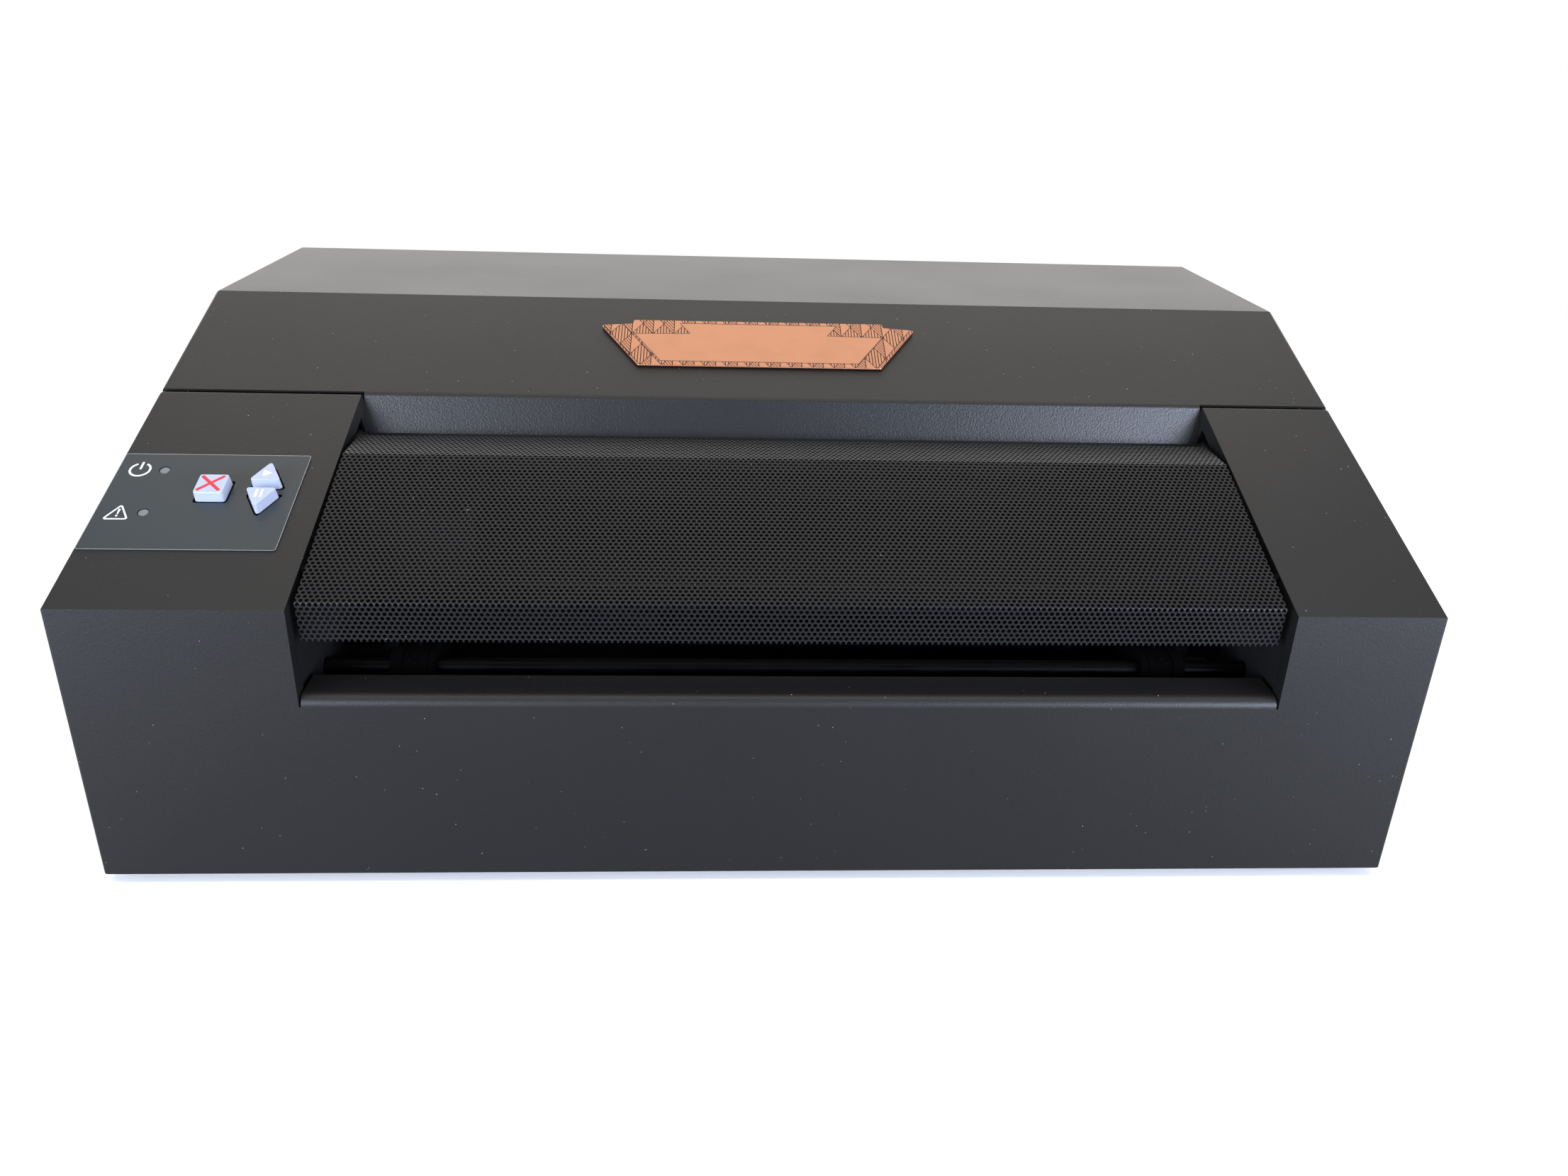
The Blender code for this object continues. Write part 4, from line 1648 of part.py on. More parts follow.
# The chute leads the paper from the die bar to the rear slot
CHUTE_SHEET = 0.001
CHUTE_FRONT_DROP = 0.012
CHUTE_STEP = 0.001
CHUTE_LEVEL = DIE_TOP - CHUTE_STEP
CHUTE_BACK_DROP = 0.010


def make_exit_chute():
    front = DIE_BACK + SEAT_GAP + CHUTE_SHEET
    back = REAR_FACE - CASE_SHEET - SEAT_GAP
    exit_level = SLOT_LOW - SEAT_GAP
    path = [(front - CHUTE_SHEET, CHUTE_LEVEL - CHUTE_FRONT_DROP), (front - CHUTE_SHEET, CHUTE_LEVEL),
            (back, exit_level), (back, exit_level - CHUTE_BACK_DROP)]
    chute = strip("exit_chute", path, LEFT_PLATE + SEAT_GAP, RIGHT_PLATE - SEAT_GAP, CHUTE_SHEET)
    finish(chute, ZINC, 0.35, 1.0)


# Four rubber feet under the pan
FOOT_RADIUS = 0.010
FOOT_TAPER = 0.0012
FOOT_INSET = 0.035
FOOT_RECESS = 0.004


def make_feet():
    half = CASE_WIDTH / 2 - FOOT_INSET
    places = {"front_left": (-half, FOOT_INSET), "front_right": (half, FOOT_INSET),
              "rear_left": (-half, CASE_DEPTH - FOOT_INSET), "rear_right": (half, CASE_DEPTH - FOOT_INSET)}
    for name, (x, y) in places.items():
        profile = [(0.0, -SEAT_GAP), (FOOT_RADIUS, -SEAT_GAP), (FOOT_RADIUS - FOOT_TAPER, -FOOT_HEIGHT),
                   (FOOT_RECESS, -FOOT_HEIGHT), (FOOT_RECESS, -FOOT_HEIGHT / 2), (0.0, -FOOT_HEIGHT / 2)]
        foot = turned("foot_" + name, profile, "Z", (x, y, 0.0), 18)
        finish(foot, RUBBER, 0.8, 0.0, smooth=True)


make_front_case()
make_keys()
make_control_panel()
make_keypad_board()
make_lid()
make_lid_hinges()
make_nameplate()
make_perforated_cover()
make_cover_brackets()
make_base_pan()
make_rear_panel()
make_fan()
make_power_inlet()
make_power_rocker()
make_sockets()
make_main_board()
make_power_supply()
make_frame_plates()
make_rails()
make_die_bar()
make_carriage()
make_carriage_drive()
make_feed()
make_tractor("left", -1)
make_tractor("right", 1)
make_exit_chute()
make_feet()
bpy.context.view_layer.update()
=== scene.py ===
"""The looks of the desktop braille embosser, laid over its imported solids."""
import json
import math

import bmesh
import bpy
import numpy as np
from mathutils import Matrix, Vector
from mathutils.geometry import convex_hull_2d

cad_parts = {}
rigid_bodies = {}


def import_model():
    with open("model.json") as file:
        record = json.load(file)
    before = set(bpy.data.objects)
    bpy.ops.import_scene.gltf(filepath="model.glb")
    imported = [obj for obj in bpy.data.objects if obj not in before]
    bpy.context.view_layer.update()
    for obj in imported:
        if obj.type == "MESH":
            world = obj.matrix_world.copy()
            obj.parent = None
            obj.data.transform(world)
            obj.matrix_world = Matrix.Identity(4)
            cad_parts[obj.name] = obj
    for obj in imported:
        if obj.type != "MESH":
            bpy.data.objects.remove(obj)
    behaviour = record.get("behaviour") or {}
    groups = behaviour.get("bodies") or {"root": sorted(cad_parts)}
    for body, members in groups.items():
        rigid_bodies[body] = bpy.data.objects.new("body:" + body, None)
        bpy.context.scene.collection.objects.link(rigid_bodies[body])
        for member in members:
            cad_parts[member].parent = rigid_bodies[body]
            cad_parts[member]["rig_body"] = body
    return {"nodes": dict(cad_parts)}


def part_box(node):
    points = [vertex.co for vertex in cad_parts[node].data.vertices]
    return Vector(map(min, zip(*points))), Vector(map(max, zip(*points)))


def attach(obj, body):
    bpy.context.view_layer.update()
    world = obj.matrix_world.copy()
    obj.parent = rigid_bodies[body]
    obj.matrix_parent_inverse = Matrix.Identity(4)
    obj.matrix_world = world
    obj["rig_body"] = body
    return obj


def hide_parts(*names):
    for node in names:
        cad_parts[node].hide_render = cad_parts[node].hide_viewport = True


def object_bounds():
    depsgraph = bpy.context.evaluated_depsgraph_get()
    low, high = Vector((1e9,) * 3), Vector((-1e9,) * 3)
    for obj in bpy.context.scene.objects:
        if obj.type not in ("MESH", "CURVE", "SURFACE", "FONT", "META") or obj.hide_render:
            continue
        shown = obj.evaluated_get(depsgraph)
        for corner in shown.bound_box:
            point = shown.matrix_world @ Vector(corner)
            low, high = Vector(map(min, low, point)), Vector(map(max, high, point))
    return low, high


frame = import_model()
cad_low, cad_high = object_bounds()

# The camera stands where the photograph was taken: a little left of the middle of the
# machine, some 55 cm in front of its case, and it looks down on it by 24 degrees.
CAMERA_PLACE = (-0.0244, -0.7797, 0.4309)
CAMERA_DOWN = math.radians(24.42)
CAMERA_TURN = math.radians(-3.407)
CAMERA_ROLL = math.radians(1.836)
CAMERA_LENS = 28.07
CAMERA_SENSOR = 36.0
CAMERA_NEAR = 0.01


def put(name, data):
    """An object with this data, linked into the scene."""
    made = bpy.data.objects.new(name, data)
    bpy.context.scene.collection.objects.link(made)
    return made


lens = bpy.data.cameras.new("photographer")
lens.lens = CAMERA_LENS
lens.sensor_width = CAMERA_SENSOR
lens.clip_start = CAMERA_NEAR
photographer = put("photographer", lens)
photographer.matrix_world = (Matrix.Translation(CAMERA_PLACE) @ Matrix.Rotation(CAMERA_TURN, 4, "Z")
                             @ Matrix.Rotation(math.pi / 2 - CAMERA_DOWN, 4, "X")
                             @ Matrix.Rotation(CAMERA_ROLL, 4, "Z"))
bpy.context.scene.camera = photographer

# The studio: white paper that fades into an even white room, soft lights behind, above and
# low at each side, and a strip overhead that the folds catch.  The camera sees floor and
# room at full white, as in the photograph, and what the coats mirror is greyer.
FLOOR_REACH = 12.0
FLOOR_PAPER = "f2f2f1"
FLOOR_MIRRORED = "a4a4a4"
FLOOR_FADE = (0.7, 2.2)
ROOM_MIRRORED = 0.5
SOFT_LIGHTS = (("rear_light", (0.0, 4.0, 1.9), (7.0, 2.6), 112.0, "fffefc"),
               ("upper_light", (0.0, 1.9, 2.9), (4.0, 2.2), 22.0, "fff1de"),
               ("top_light", (0.0, -0.55, 2.6), (2.8, 0.7), 26.0, "fff8f0"),
               ("left_window", (-1.25, -2.3, 0.75), (1.0, 0.9), 22.0, "e6edff"),
               ("right_window", (1.2, -2.2, 0.75), (1.0, 0.9), 27.0, "dce6ff"),
               ("left_low_light", (-1.15, -1.0, 0.32), (0.9, 0.55), 27.0, "dfe9ff"),
               ("right_low_light", (1.15, -1.0, 0.32), (0.9, 0.55), 31.0, "dfe9ff"))

# The picture keeps plain sRGB, so that white stays white.
bpy.context.scene.view_settings.view_transform = "Standard"


def tint(code):
    """An sRGB hex colour as the linear colour that the shaders take."""
    parts = [int(code[i:i + 2], 16) / 255 for i in (0, 2, 4)]
    return (*[p / 12.92 if p <= 0.04045 else ((p + 0.055) / 1.055) ** 2.4 for p in parts], 1.0)


def add(tree, kind, inputs=None, **settings):
    """Add one node and its settings. An input takes a value, a socket or a node's first output."""
    made = tree.nodes.new(kind)
    for name, value in settings.items():
        setattr(made, name, value)
    for socket, value in (inputs or {}).items():
        if isinstance(value, bpy.types.Node):
            value = next(out for out in value.outputs if out.enabled)
        if isinstance(value, bpy.types.NodeSocket):
            tree.links.new(value, made.inputs[socket])
        else:
            made.inputs[socket].default_value = value
    return made


def start_finish(name):
    """A new material, its node tree, and the place on the piece that its patterns read."""
    finish = bpy.data.materials.new(name)
    finish.use_nodes = True
    tree = finish.node_tree
    tree.nodes.clear()
    return finish, tree, add(tree, "ShaderNodeTexCoord").outputs["Object"]


def seamless_paper():
    """Studio background paper: matt and pale, running out into the room's own white."""
    finish, tree, place = start_finish("seamless_paper")
    seen = add(tree, "ShaderNodeLightPath").outputs["Is Camera Ray"]
    shade = add(tree, "ShaderNodeMix", {"Factor": seen, "A": tint(FLOOR_MIRRORED), "B": tint(FLOOR_PAPER)},
                data_type="RGBA")
    paper = add(tree, "ShaderNodeBsdfPrincipled", {"Base Color": shade, "Roughness": 0.9})
    level = add(tree, "ShaderNodeMapRange", {"Value": seen, "To Min": ROOM_MIRRORED, "To Max": 1.0})
    glow = add(tree, "ShaderNodeEmission", {"Strength": level})
    away = add(tree, "ShaderNodeVectorMath", {0: place}, operation="LENGTH")
    fade = add(tree, "ShaderNodeMapRange", {"Value": away, "From Min": FLOOR_FADE[0],
                                            "From Max": FLOOR_FADE[1]}, interpolation_type="SMOOTHSTEP")
    joined = add(tree, "ShaderNodeMixShader", {0: fade, 1: paper, 2: glow})
    add(tree, "ShaderNodeOutputMaterial", {"Surface": joined})
    return finish


floor_sheet = bpy.data.meshes.new("studio_floor")
floor_corners = [(x * FLOOR_REACH, y * FLOOR_REACH, 0.0) for x, y in ((-1, -1), (1, -1), (1, 1), (-1, 1))]
floor_sheet.from_pydata(floor_corners, [], [(0, 1, 2, 3)])
floor_sheet.materials.append(seamless_paper())
put("studio_floor", floor_sheet)

room = bpy.data.worlds.new("studio_room")
bpy.context.scene.world = room
room.use_nodes = True
room_tree = room.node_tree
room_tree.nodes.clear()
seen_room = add(room_tree, "ShaderNodeLightPath").outputs["Is Camera Ray"]
room_level = add(room_tree, "ShaderNodeMapRange", {"Value": seen_room, "To Min": ROOM_MIRRORED, "To Max": 1.0})
white_room = add(room_tree, "ShaderNodeBackground", {"Color": tint("ffffff"), "Strength": room_level})
add(room_tree, "ShaderNodeOutputWorld", {"Surface": white_room})
for light_name, light_place, light_size, watts, light_tint in SOFT_LIGHTS:
    panel = bpy.data.lights.new(light_name, "AREA")
    panel.shape = "RECTANGLE"
    panel.size, panel.size_y = light_size
    panel.energy = watts
    panel.color = tint(light_tint)[:3]
    lamp = put(light_name, panel)
    lamp.location = light_place
    lamp.rotation_euler = (-Vector(light_place)).to_track_quat("-Z", "Y").to_euler()
    lamp.visible_camera = False

# The case is folded from 1.5 mm steel and powder coated: a satin, nearly black coat with
# the fine orange peel that baked powder has, a little dust, and edges that catch the light.
CASE_BLACK = "121212"
DUST_GREY = "a9a8a2"
PEEL_SIZE = 0.0011
DUST_SPACING = 0.0078
DUST_SIZE = 0.044
CLOUD_SIZE = 0.085
CASE_EDGE = 0.00035
CASE_FOLD = 0.0008
WIDE_FACE = 0.0016
DOUBLES = 0.000002
FLAT_ANGLE = math.radians(0.8)
FOLD_ANGLE = math.radians(4.0)
EDGE_ANGLE = math.radians(28.0)


def end_finish(finish, surface):
    """Give a material its surface, one shader with these inputs, and hand it back."""
    shader = add(finish.node_tree, "ShaderNodeBsdfPrincipled", surface)
    add(finish.node_tree, "ShaderNodeOutputMaterial", {"Surface": shader})
    return finish


def powder_coat(name, colour, roughness, peel_depth, dust=1.3, gloss=1.42):
    """Baked powder coat: satin, with orange peel and a few specks of dust."""
    finish, tree, place = start_finish(name)
    peel = add(tree, "ShaderNodeTexNoise", {"Vector": place, "Scale": 1 / PEEL_SIZE, "Detail": 2.0})
    cloud = add(tree, "ShaderNodeTexNoise", {"Vector": place, "Scale": 1 / CLOUD_SIZE, "Detail": 4.0})
    specks = add(tree, "ShaderNodeTexVoronoi", {"Vector": place, "Scale": 1 / DUST_SPACING})
    strength = add(tree, "ShaderNodeMath", {0: specks.outputs["Color"], 1: dust}, operation="MULTIPLY")
    picked = add(tree, "ShaderNodeMapRange", {"Value": specks, "From Min": DUST_SIZE * 0.6,
                                              "From Max": DUST_SIZE, "To Min": strength, "To Max": 0.0})
    dusty = add(tree, "ShaderNodeMix", {"Factor": picked, "A": tint(colour), "B": tint(DUST_GREY)},
                data_type="RGBA")
    dulled = add(tree, "ShaderNodeMapRange", {"Value": cloud, "From Min": 0.3, "From Max": 0.7,
                                              "To Min": roughness - 0.015, "To Max": roughness + 0.015})
    skin = add(tree, "ShaderNodeBump", {"Height": peel, "Strength": 0.6, "Distance": peel_depth})
    return end_finish(finish, {"Base Color": dusty, "Roughness": dulled, "Normal": skin, "IOR": gloss})


def place_piece(piece, body, stands_for=()):
    """Let a finished piece ride on its body and the nodes that it stands for."""
    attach(piece, body)
    if stands_for:
        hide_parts(*stands_for)
    return piece


def new_piece(name, shape, finish, smooth_angle=None):
    """A piece from a bmesh, with its one finish."""
    mesh = bpy.data.meshes.new(name)
    shape.to_mesh(mesh)
    shape.free()
    mesh.materials.append(finish)
    if smooth_angle is not None:
        mesh.shade_smooth()
        mesh.set_sharp_from_angle(angle=math.radians(smooth_angle))
    return put(name, mesh)


def settled(thing):
    """The plain mesh of a curve or a piece, with its modifiers done."""
    return bpy.data.meshes.new_from_object(thing.evaluated_get(bpy.context.evaluated_depsgraph_get()))


def bake_modifiers(piece):
    """Turn a piece with modifiers into a plain mesh and drop the modifiers."""
    mesh = settled(piece)
    piece.modifiers.clear()
    piece.data = mesh
    return piece


def dressed(node, finish, edge=CASE_EDGE, fold=None, steps=2, smooth_below=EDGE_ANGLE):
    """The same shape as a solid, its sharp edges broken and the folds between wide faces rounded."""
    shape = bmesh.new()
    shape.from_mesh(frame["nodes"][node].data)
    bmesh.ops.remove_doubles(shape, verts=shape.verts, dist=DOUBLES)
    bmesh.ops.dissolve_limit(shape, angle_limit=FLAT_ANGLE, verts=shape.verts, edges=shape.edges)
    fold = fold or edge
    share = shape.edges.layers.float.new("bevel_weight_edge")
    for line in shape.edges:
        turn = line.calc_face_angle(0.0)
        wide = min(face.calc_area() for face in line.link_faces) > WIDE_FACE
        if wide and turn > FOLD_ANGLE:
            line[share] = 1.0
        elif turn > smooth_below:
            line[share] = edge / fold
    piece = new_piece(node + "_finished", shape, finish, smooth_angle=180)
    broken = piece.modifiers.new("broken_edges", "BEVEL")
    broken.width = fold
    broken.segments = steps
    broken.limit_method = "WEIGHT"
    piece.modifiers.new("flat_faces", "WEIGHTED_NORMAL").weight = 60
    bake_modifiers(piece)
    return place_piece(piece, frame["nodes"][node]["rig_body"], [node])


def paint(node, finish):
    """Give a solid that keeps its own shape its finish."""
    mesh = frame["nodes"][node].data
    mesh.materials.clear()
    mesh.materials.append(finish)


case_coat = powder_coat("case_powder_coat", CASE_BLACK, roughness=0.45, peel_depth=0.00016)
front_shell = dressed("front_case", case_coat, fold=CASE_FOLD)

# The lid is the same folded steel.  Its lip over the notch is the fold that a hand takes, and its
# coat there is smoother and a lighter, bluish grey: painted light, for the light that its face catches.
LIP_LIT_GREY = "141518"
BAND_TOP = 0.2262
BAND_BACK = -0.0520
BAND_MIDDLE = 0.0185
BAND_HALF = 0.2562

lid_shell = dressed("lid", case_coat, fold=CASE_FOLD)
# Painted light: the lip's coat is lighter than the case's black, for the light on its face.
lit_lip_coat = powder_coat("lid_lip_painted_light_coat", LIP_LIT_GREY, roughness=0.33, peel_depth=0.00024, dust=0.4, gloss=1.44)
lid_shell.data.materials.append(lit_lip_coat)
for face in lid_shell.data.polygons:
    x, y, z = face.center
    if y < BAND_BACK and z < BAND_TOP and abs(x - BAND_MIDDLE) < BAND_HALF:
        face.material_index = 1

# The cover is 1.2 mm steel punched with 2 mm holes on 3 mm centres, in staggered rows, then
# sheared, which leaves part holes along all of its edges, folded twice, and coated thinly:
# black with a dull sheen.
COVER_COAT = "101011"
HOLE_PITCH = 0.0030
ROW_PITCH = HOLE_PITCH * math.sqrt(3.0) / 2
HOLE_RADIUS = 0.00116
HOLE_SIDES = 8
COVER_SHEET = 0.0012
COVER_FOLD = 0.0020
FOLD_STEPS = 4
SPARE_TILES = 3
WELD_REACH = HOLE_PITCH / 200
COVER_SECTION = ((0.0063, 0.1386), (0.0044, 0.1611), (0.1096, 0.2038), (0.1439, 0.2039))
COVER_GROUND = Vector((-0.226, 0.006))


def start_tree(name, inputs):
    """A geometry node tree with its named inputs and one output, and the sockets it is given."""
    tree = bpy.data.node_groups.new(name, "GeometryNodeTree")
    for label, kind in inputs.items():
        tree.interface.new_socket(label, in_out="INPUT", socket_type="NodeSocket" + kind)
    tree.interface.new_socket("Made", in_out="OUTPUT", socket_type="NodeSocketGeometry")
    return tree, add(tree, "NodeGroupInput").outputs


def staggered_tree():
    """Geometry nodes that set a tile on staggered rows and weld the tiles to one sheet."""
    tree, given = start_tree("punched_sheet", {
        "Tile": "Geometry", "Columns": "Int", "Rows": "Int", "Width": "Float", "Length": "Float",
        "Pitch": "Float", "Coat": "Material"})
    grid = add(tree, "GeometryNodeMeshGrid", {"Size X": given["Width"], "Size Y": given["Length"],
                                              "Vertices X": given["Columns"], "Vertices Y": given["Rows"]})
    count = add(tree, "GeometryNodeInputIndex")
    row = add(tree, "ShaderNodeMath", {0: count, 1: given["Rows"]}, operation="MODULO")
    odd = add(tree, "ShaderNodeMath", {0: row, 1: 2.0}, operation="MODULO")
    half = add(tree, "ShaderNodeMath", {0: given["Pitch"], 1: 2.0}, operation="DIVIDE")
    shift = add(tree, "ShaderNodeMath", {0: odd, 1: half}, operation="MULTIPLY")
    offset = add(tree, "ShaderNodeCombineXYZ", {"X": shift})
    rows = add(tree, "GeometryNodeSetPosition", {"Geometry": grid, "Offset": offset})
    tiles = add(tree, "GeometryNodeInstanceOnPoints", {"Points": rows, "Instance": given["Tile"]})
    real = add(tree, "GeometryNodeRealizeInstances", {0: tiles})
    welded = add(tree, "GeometryNodeMergeByDistance", {0: real, "Distance": WELD_REACH})
    coated = add(tree, "GeometryNodeSetMaterial", {0: welded, "Material": given["Coat"]})
    add(tree, "NodeGroupOutput", {0: coated})
    return tree


def grown(piece, tree, values):
    """Run a node tree on a piece, its named inputs set by their sockets' identifiers."""
    growth = piece.modifiers.new(tree.name, "NODES")
    growth.node_group = tree
    for item in tree.interface.items_tree:
        if item.in_out == "INPUT" and item.name in values:
            growth[item.identifier] = values[item.name]
    return bake_modifiers(piece)


def punched_tile():
    """One six-sided cell of the sheet, from its middle, with the round hole through it."""
    shape = bmesh.new()
    cell = [(HOLE_PITCH / math.sqrt(3.0), math.radians(90 + 60 * i)) for i in range(6)]
    hole = [(HOLE_RADIUS, math.radians(22.5 + 360 * i / HOLE_SIDES)) for i in range(HOLE_SIDES)]
    bores = []
    for height in (0.0, -COVER_SHEET):
        edges = []
        for ring in (cell, hole):
            verts = [shape.verts.new((r * math.cos(a), r * math.sin(a), height)) for r, a in ring]
            edges += [shape.edges.new((verts[i], verts[(i + 1) % len(verts)])) for i in range(len(verts))]
        bores.append(verts)
        for item in bmesh.ops.triangle_fill(shape, edges=edges, use_beauty=True)["geom"]:
            if isinstance(item, bmesh.types.BMFace):
                item.normal_update()
                if (item.normal.z > 0) != (height == 0.0):
                    item.normal_flip()
    top, low = bores
    for i in range(HOLE_SIDES):
        after = (i + 1) % HOLE_SIDES
        shape.faces.new((top[after], top[i], low[i], low[after]))
    mesh = bpy.data.meshes.new("punched_tile")
    shape.to_mesh(mesh)
    shape.free()
    return put("punched_tile", mesh)


def fold_runs():
    """The cover's section as straight runs and round folds, each with its start, heading and length."""
    points = [Vector(p) for p in COVER_SECTION]
    headings = [(b - a).normalized() for a, b in zip(points, points[1:])]
    runs = []
    start = points[0]
    for end, heading, onward in zip(points[1:], headings, headings[1:] + headings[-1:]):
        turn = abs(heading.angle_signed(onward))
        setback = COVER_FOLD * math.tan(turn / 2)
        straight = (end - heading * setback - start).length
        runs.append(("straight", start, heading, straight))
        if turn:
            runs.append(("fold", start + heading * straight, heading, turn * COVER_FOLD))
        start = end + onward * setback
    return runs


def cut_sheet(shape, axis, at, keep):
    """Shear the flat sheet square to an axis; keep +1 keeps what lies beyond, 0 only scores it."""
    reach = HOLE_PITCH
    normal = Vector((axis == 0, axis == 1, 0.0))
    if keep:
        beyond = [v for v in shape.verts if (v.co[axis] - at) * keep < -reach]
        bmesh.ops.delete(shape, geom=beyond, context="VERTS")
    faces = [f for f in shape.faces if abs(f.calc_center_median()[axis] - at) < reach]
    near = set(faces)
    for face in faces:
        near.update(face.edges)
        near.update(face.verts)
    made = bmesh.ops.bisect_plane(shape, geom=list(near), dist=DOUBLES, plane_co=normal * at,
                                  plane_no=normal * (keep or 1), clear_inner=bool(keep))
    if keep:
        sheared = [g for g in made["geom_cut"] if isinstance(g, bmesh.types.BMEdge) and g.is_boundary]
        bmesh.ops.holes_fill(shape, edges=sheared, sides=0)


def folded(points, runs):
    """Carry points of the flat sheet, across, along and above it, onto the folded section."""
    placed = np.array(points)
    along = points[:, 1]
    depth = points[:, 2]
    start = 0.0
    for index, (kind, origin, heading, length) in enumerate(runs):
        here = (along >= start - DOUBLES) & ((along < start + length) | (index == len(runs) - 1))
        part = along[here] - start
        out = Vector((-heading.y, heading.x))
        ahead, above = part, depth[here]
        if kind == "fold":
            ahead = (COVER_FOLD + depth[here]) * np.sin(part / COVER_FOLD)
            above = (COVER_FOLD + depth[here]) * np.cos(part / COVER_FOLD) - COVER_FOLD
        placed[here, 1] = origin.x + heading.x * ahead + out.x * above + COVER_GROUND.x
        placed[here, 2] = origin.y + heading.y * ahead + out.y * above + COVER_GROUND.y
        start += length
    return placed


def make_punched_cover(coat):
    """Punch the flat sheet, shear and fold it, and part it into the cover's four faces."""
    low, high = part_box("perforated_cover")
    width = high.x - low.x
    runs = fold_runs()
    length = sum(run[3] for run in runs)
    columns = int(width / HOLE_PITCH) + SPARE_TILES
    rows = int(length / ROW_PITCH) + SPARE_TILES
    tile = grown(punched_tile(), staggered_tree(), {
        "Columns": columns, "Rows": rows, "Width": (columns - 1) * HOLE_PITCH, "Length": (rows - 1) * ROW_PITCH,
        "Pitch": HOLE_PITCH, "Coat": coat})
    shape = bmesh.new()
    shape.from_mesh(tile.data)
    bpy.data.objects.remove(tile)
    bmesh.ops.translate(shape, verts=shape.verts, vec=(0.0, length / 2, 0.0))
    for axis, at, keep in ((0, -width / 2, 1), (0, width / 2, -1), (1, 0.0, 1), (1, length, -1)):
        cut_sheet(shape, axis, at, keep)
    start = 0.0
    panels = [0.0]
    for kind, origin, heading, run in runs:
        if kind == "fold":
            for i in range(FOLD_STEPS + 1):
                cut_sheet(shape, 1, start + run * i / FOLD_STEPS, 0)
            panels.append(start + run / 2)
        start += run
    middle = (panels[1] + panels[2]) / 2
    bands = {"cover_lip": (panels[0], panels[1]), "cover_face_front": (panels[1], middle),
             "cover_face_rear": (middle, panels[2]), "cover_rear_strip": (panels[2], math.inf)}
    flat = bpy.data.meshes.new("flat_sheet")
    shape.to_mesh(flat)
    shape.free()
    points = np.empty(len(flat.vertices) * 3)
    flat.vertices.foreach_get("co", points)
    placed = folded(points.reshape(-1, 3), runs)
    placed[:, 0] += (low.x + high.x) / 2
    faces = [(tuple(face.vertices), face.center.y) for face in flat.polygons]
    bpy.data.meshes.remove(flat)
    for name, (begin, end) in bands.items():
        chosen = [corners for corners, at in faces if begin <= at < end]
        used = sorted({corner for corners in chosen for corner in corners})
        renumbered = {old: new for new, old in enumerate(used)}
        mesh = bpy.data.meshes.new(name)
        mesh.from_pydata(placed[used].tolist(), [], [[renumbered[c] for c in corners] for corners in chosen])
        mesh.materials.append(coat)
        mesh.shade_smooth()
        mesh.set_sharp_from_angle(angle=EDGE_ANGLE)
        place_piece(put(name, mesh), "cover_group", ["perforated_cover"])


make_punched_cover(powder_coat("cover_powder_coat", COVER_COAT, roughness=0.42, peel_depth=0.00003, dust=0.6,
                               gloss=1.39))

# The controls sit under a printed polyester film.  It is dark slate, satin, and its cut
# edge shows as a pale line; the strip below the keys is left bare.
FRONT_TOP = 0.1588
SLOPE_ANGLE = math.radians(20.26)
FILM_SLATE = "20282c"
FILM_LINE = "7e8586"
FILM_CORNERS = ((-0.3534, -0.2524), (0.0425, 0.1205))
FILM_ROUND = 0.0016
FILM_TOP = 0.0005
FILM_LINE_WIDTH = 0.0003
INK_HEIGHT = 0.00006
INK_SINK = 0.00002
INK_PULL = 0.0009
SLOPE_PLANE = (Matrix.Translation((0.0, cad_low.y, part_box("front_case")[0].z + FRONT_TOP))
               @ Matrix.Rotation(SLOPE_ANGLE, 4, "X"))


def grained(name, colour, grain, strength, depth, surface, detail=2.0):
    """A finish in one colour, whose fine grain breaks up its shine."""
    finish, tree, place = start_finish(name)
    rise = add(tree, "ShaderNodeTexNoise", {"Vector": place, "Scale": 1 / grain, "Detail": detail})
    skin = add(tree, "ShaderNodeBump", {"Height": rise, "Strength": strength, "Distance": depth})
    return end_finish(finish, {"Base Color": tint(colour), "Normal": skin, **surface})


def printing_ink(name, colour, roughness=0.5):
    """Opaque screen ink with the faint unevenness of a pulled print."""
    finish, tree, place = start_finish(name)
    pull = add(tree, "ShaderNodeTexNoise", {"Vector": place, "Scale": 1 / INK_PULL, "Detail": 3.0})
    rough = add(tree, "ShaderNodeMapRange", {"Value": pull, "To Min": roughness - 0.1,
                                             "To Max": roughness + 0.1})
    return end_finish(finish, {"Base Color": tint(colour), "Roughness": rough})


def arc_points(centre, radius, start, end, steps):
    """Points along an arc, angles in degrees, both ends included."""
    turns = [math.radians(start + (end - start) * i / steps) for i in range(steps + 1)]
    return [(centre[0] + radius * math.cos(a), centre[1] + radius * math.sin(a)) for a in turns]


def rounded(corners, radius, steps=4):
    """A closed outline, given counter-clockwise, with its corners rounded."""
    points = []
    for i, corner in enumerate(corners):
        here = Vector(corner)
        back = (Vector(corners[i - 1]) - here).normalized()
        ahead = (Vector(corners[(i + 1) % len(corners)]) - here).normalized()
        half = back.angle(ahead) / 2
        centre = here + (back + ahead).normalized() * radius / math.sin(half)
        middle = math.degrees(math.atan2(here.y - centre.y, here.x - centre.x))
        reach = math.copysign(90 - math.degrees(half), -back.cross(ahead))
        points += arc_points(centre, radius, middle - reach, middle + reach, steps)
    return points


def box_corners(x_low, x_high, y_low, y_high, inset=0.0):
    """A rectangle's corners, counter-clockwise, drawn in by inset."""
    x_low, x_high, y_low, y_high = x_low + inset, x_high - inset, y_low + inset, y_high - inset
    return [(x_low, y_low), (x_high, y_low), (x_high, y_high), (x_low, y_high)]


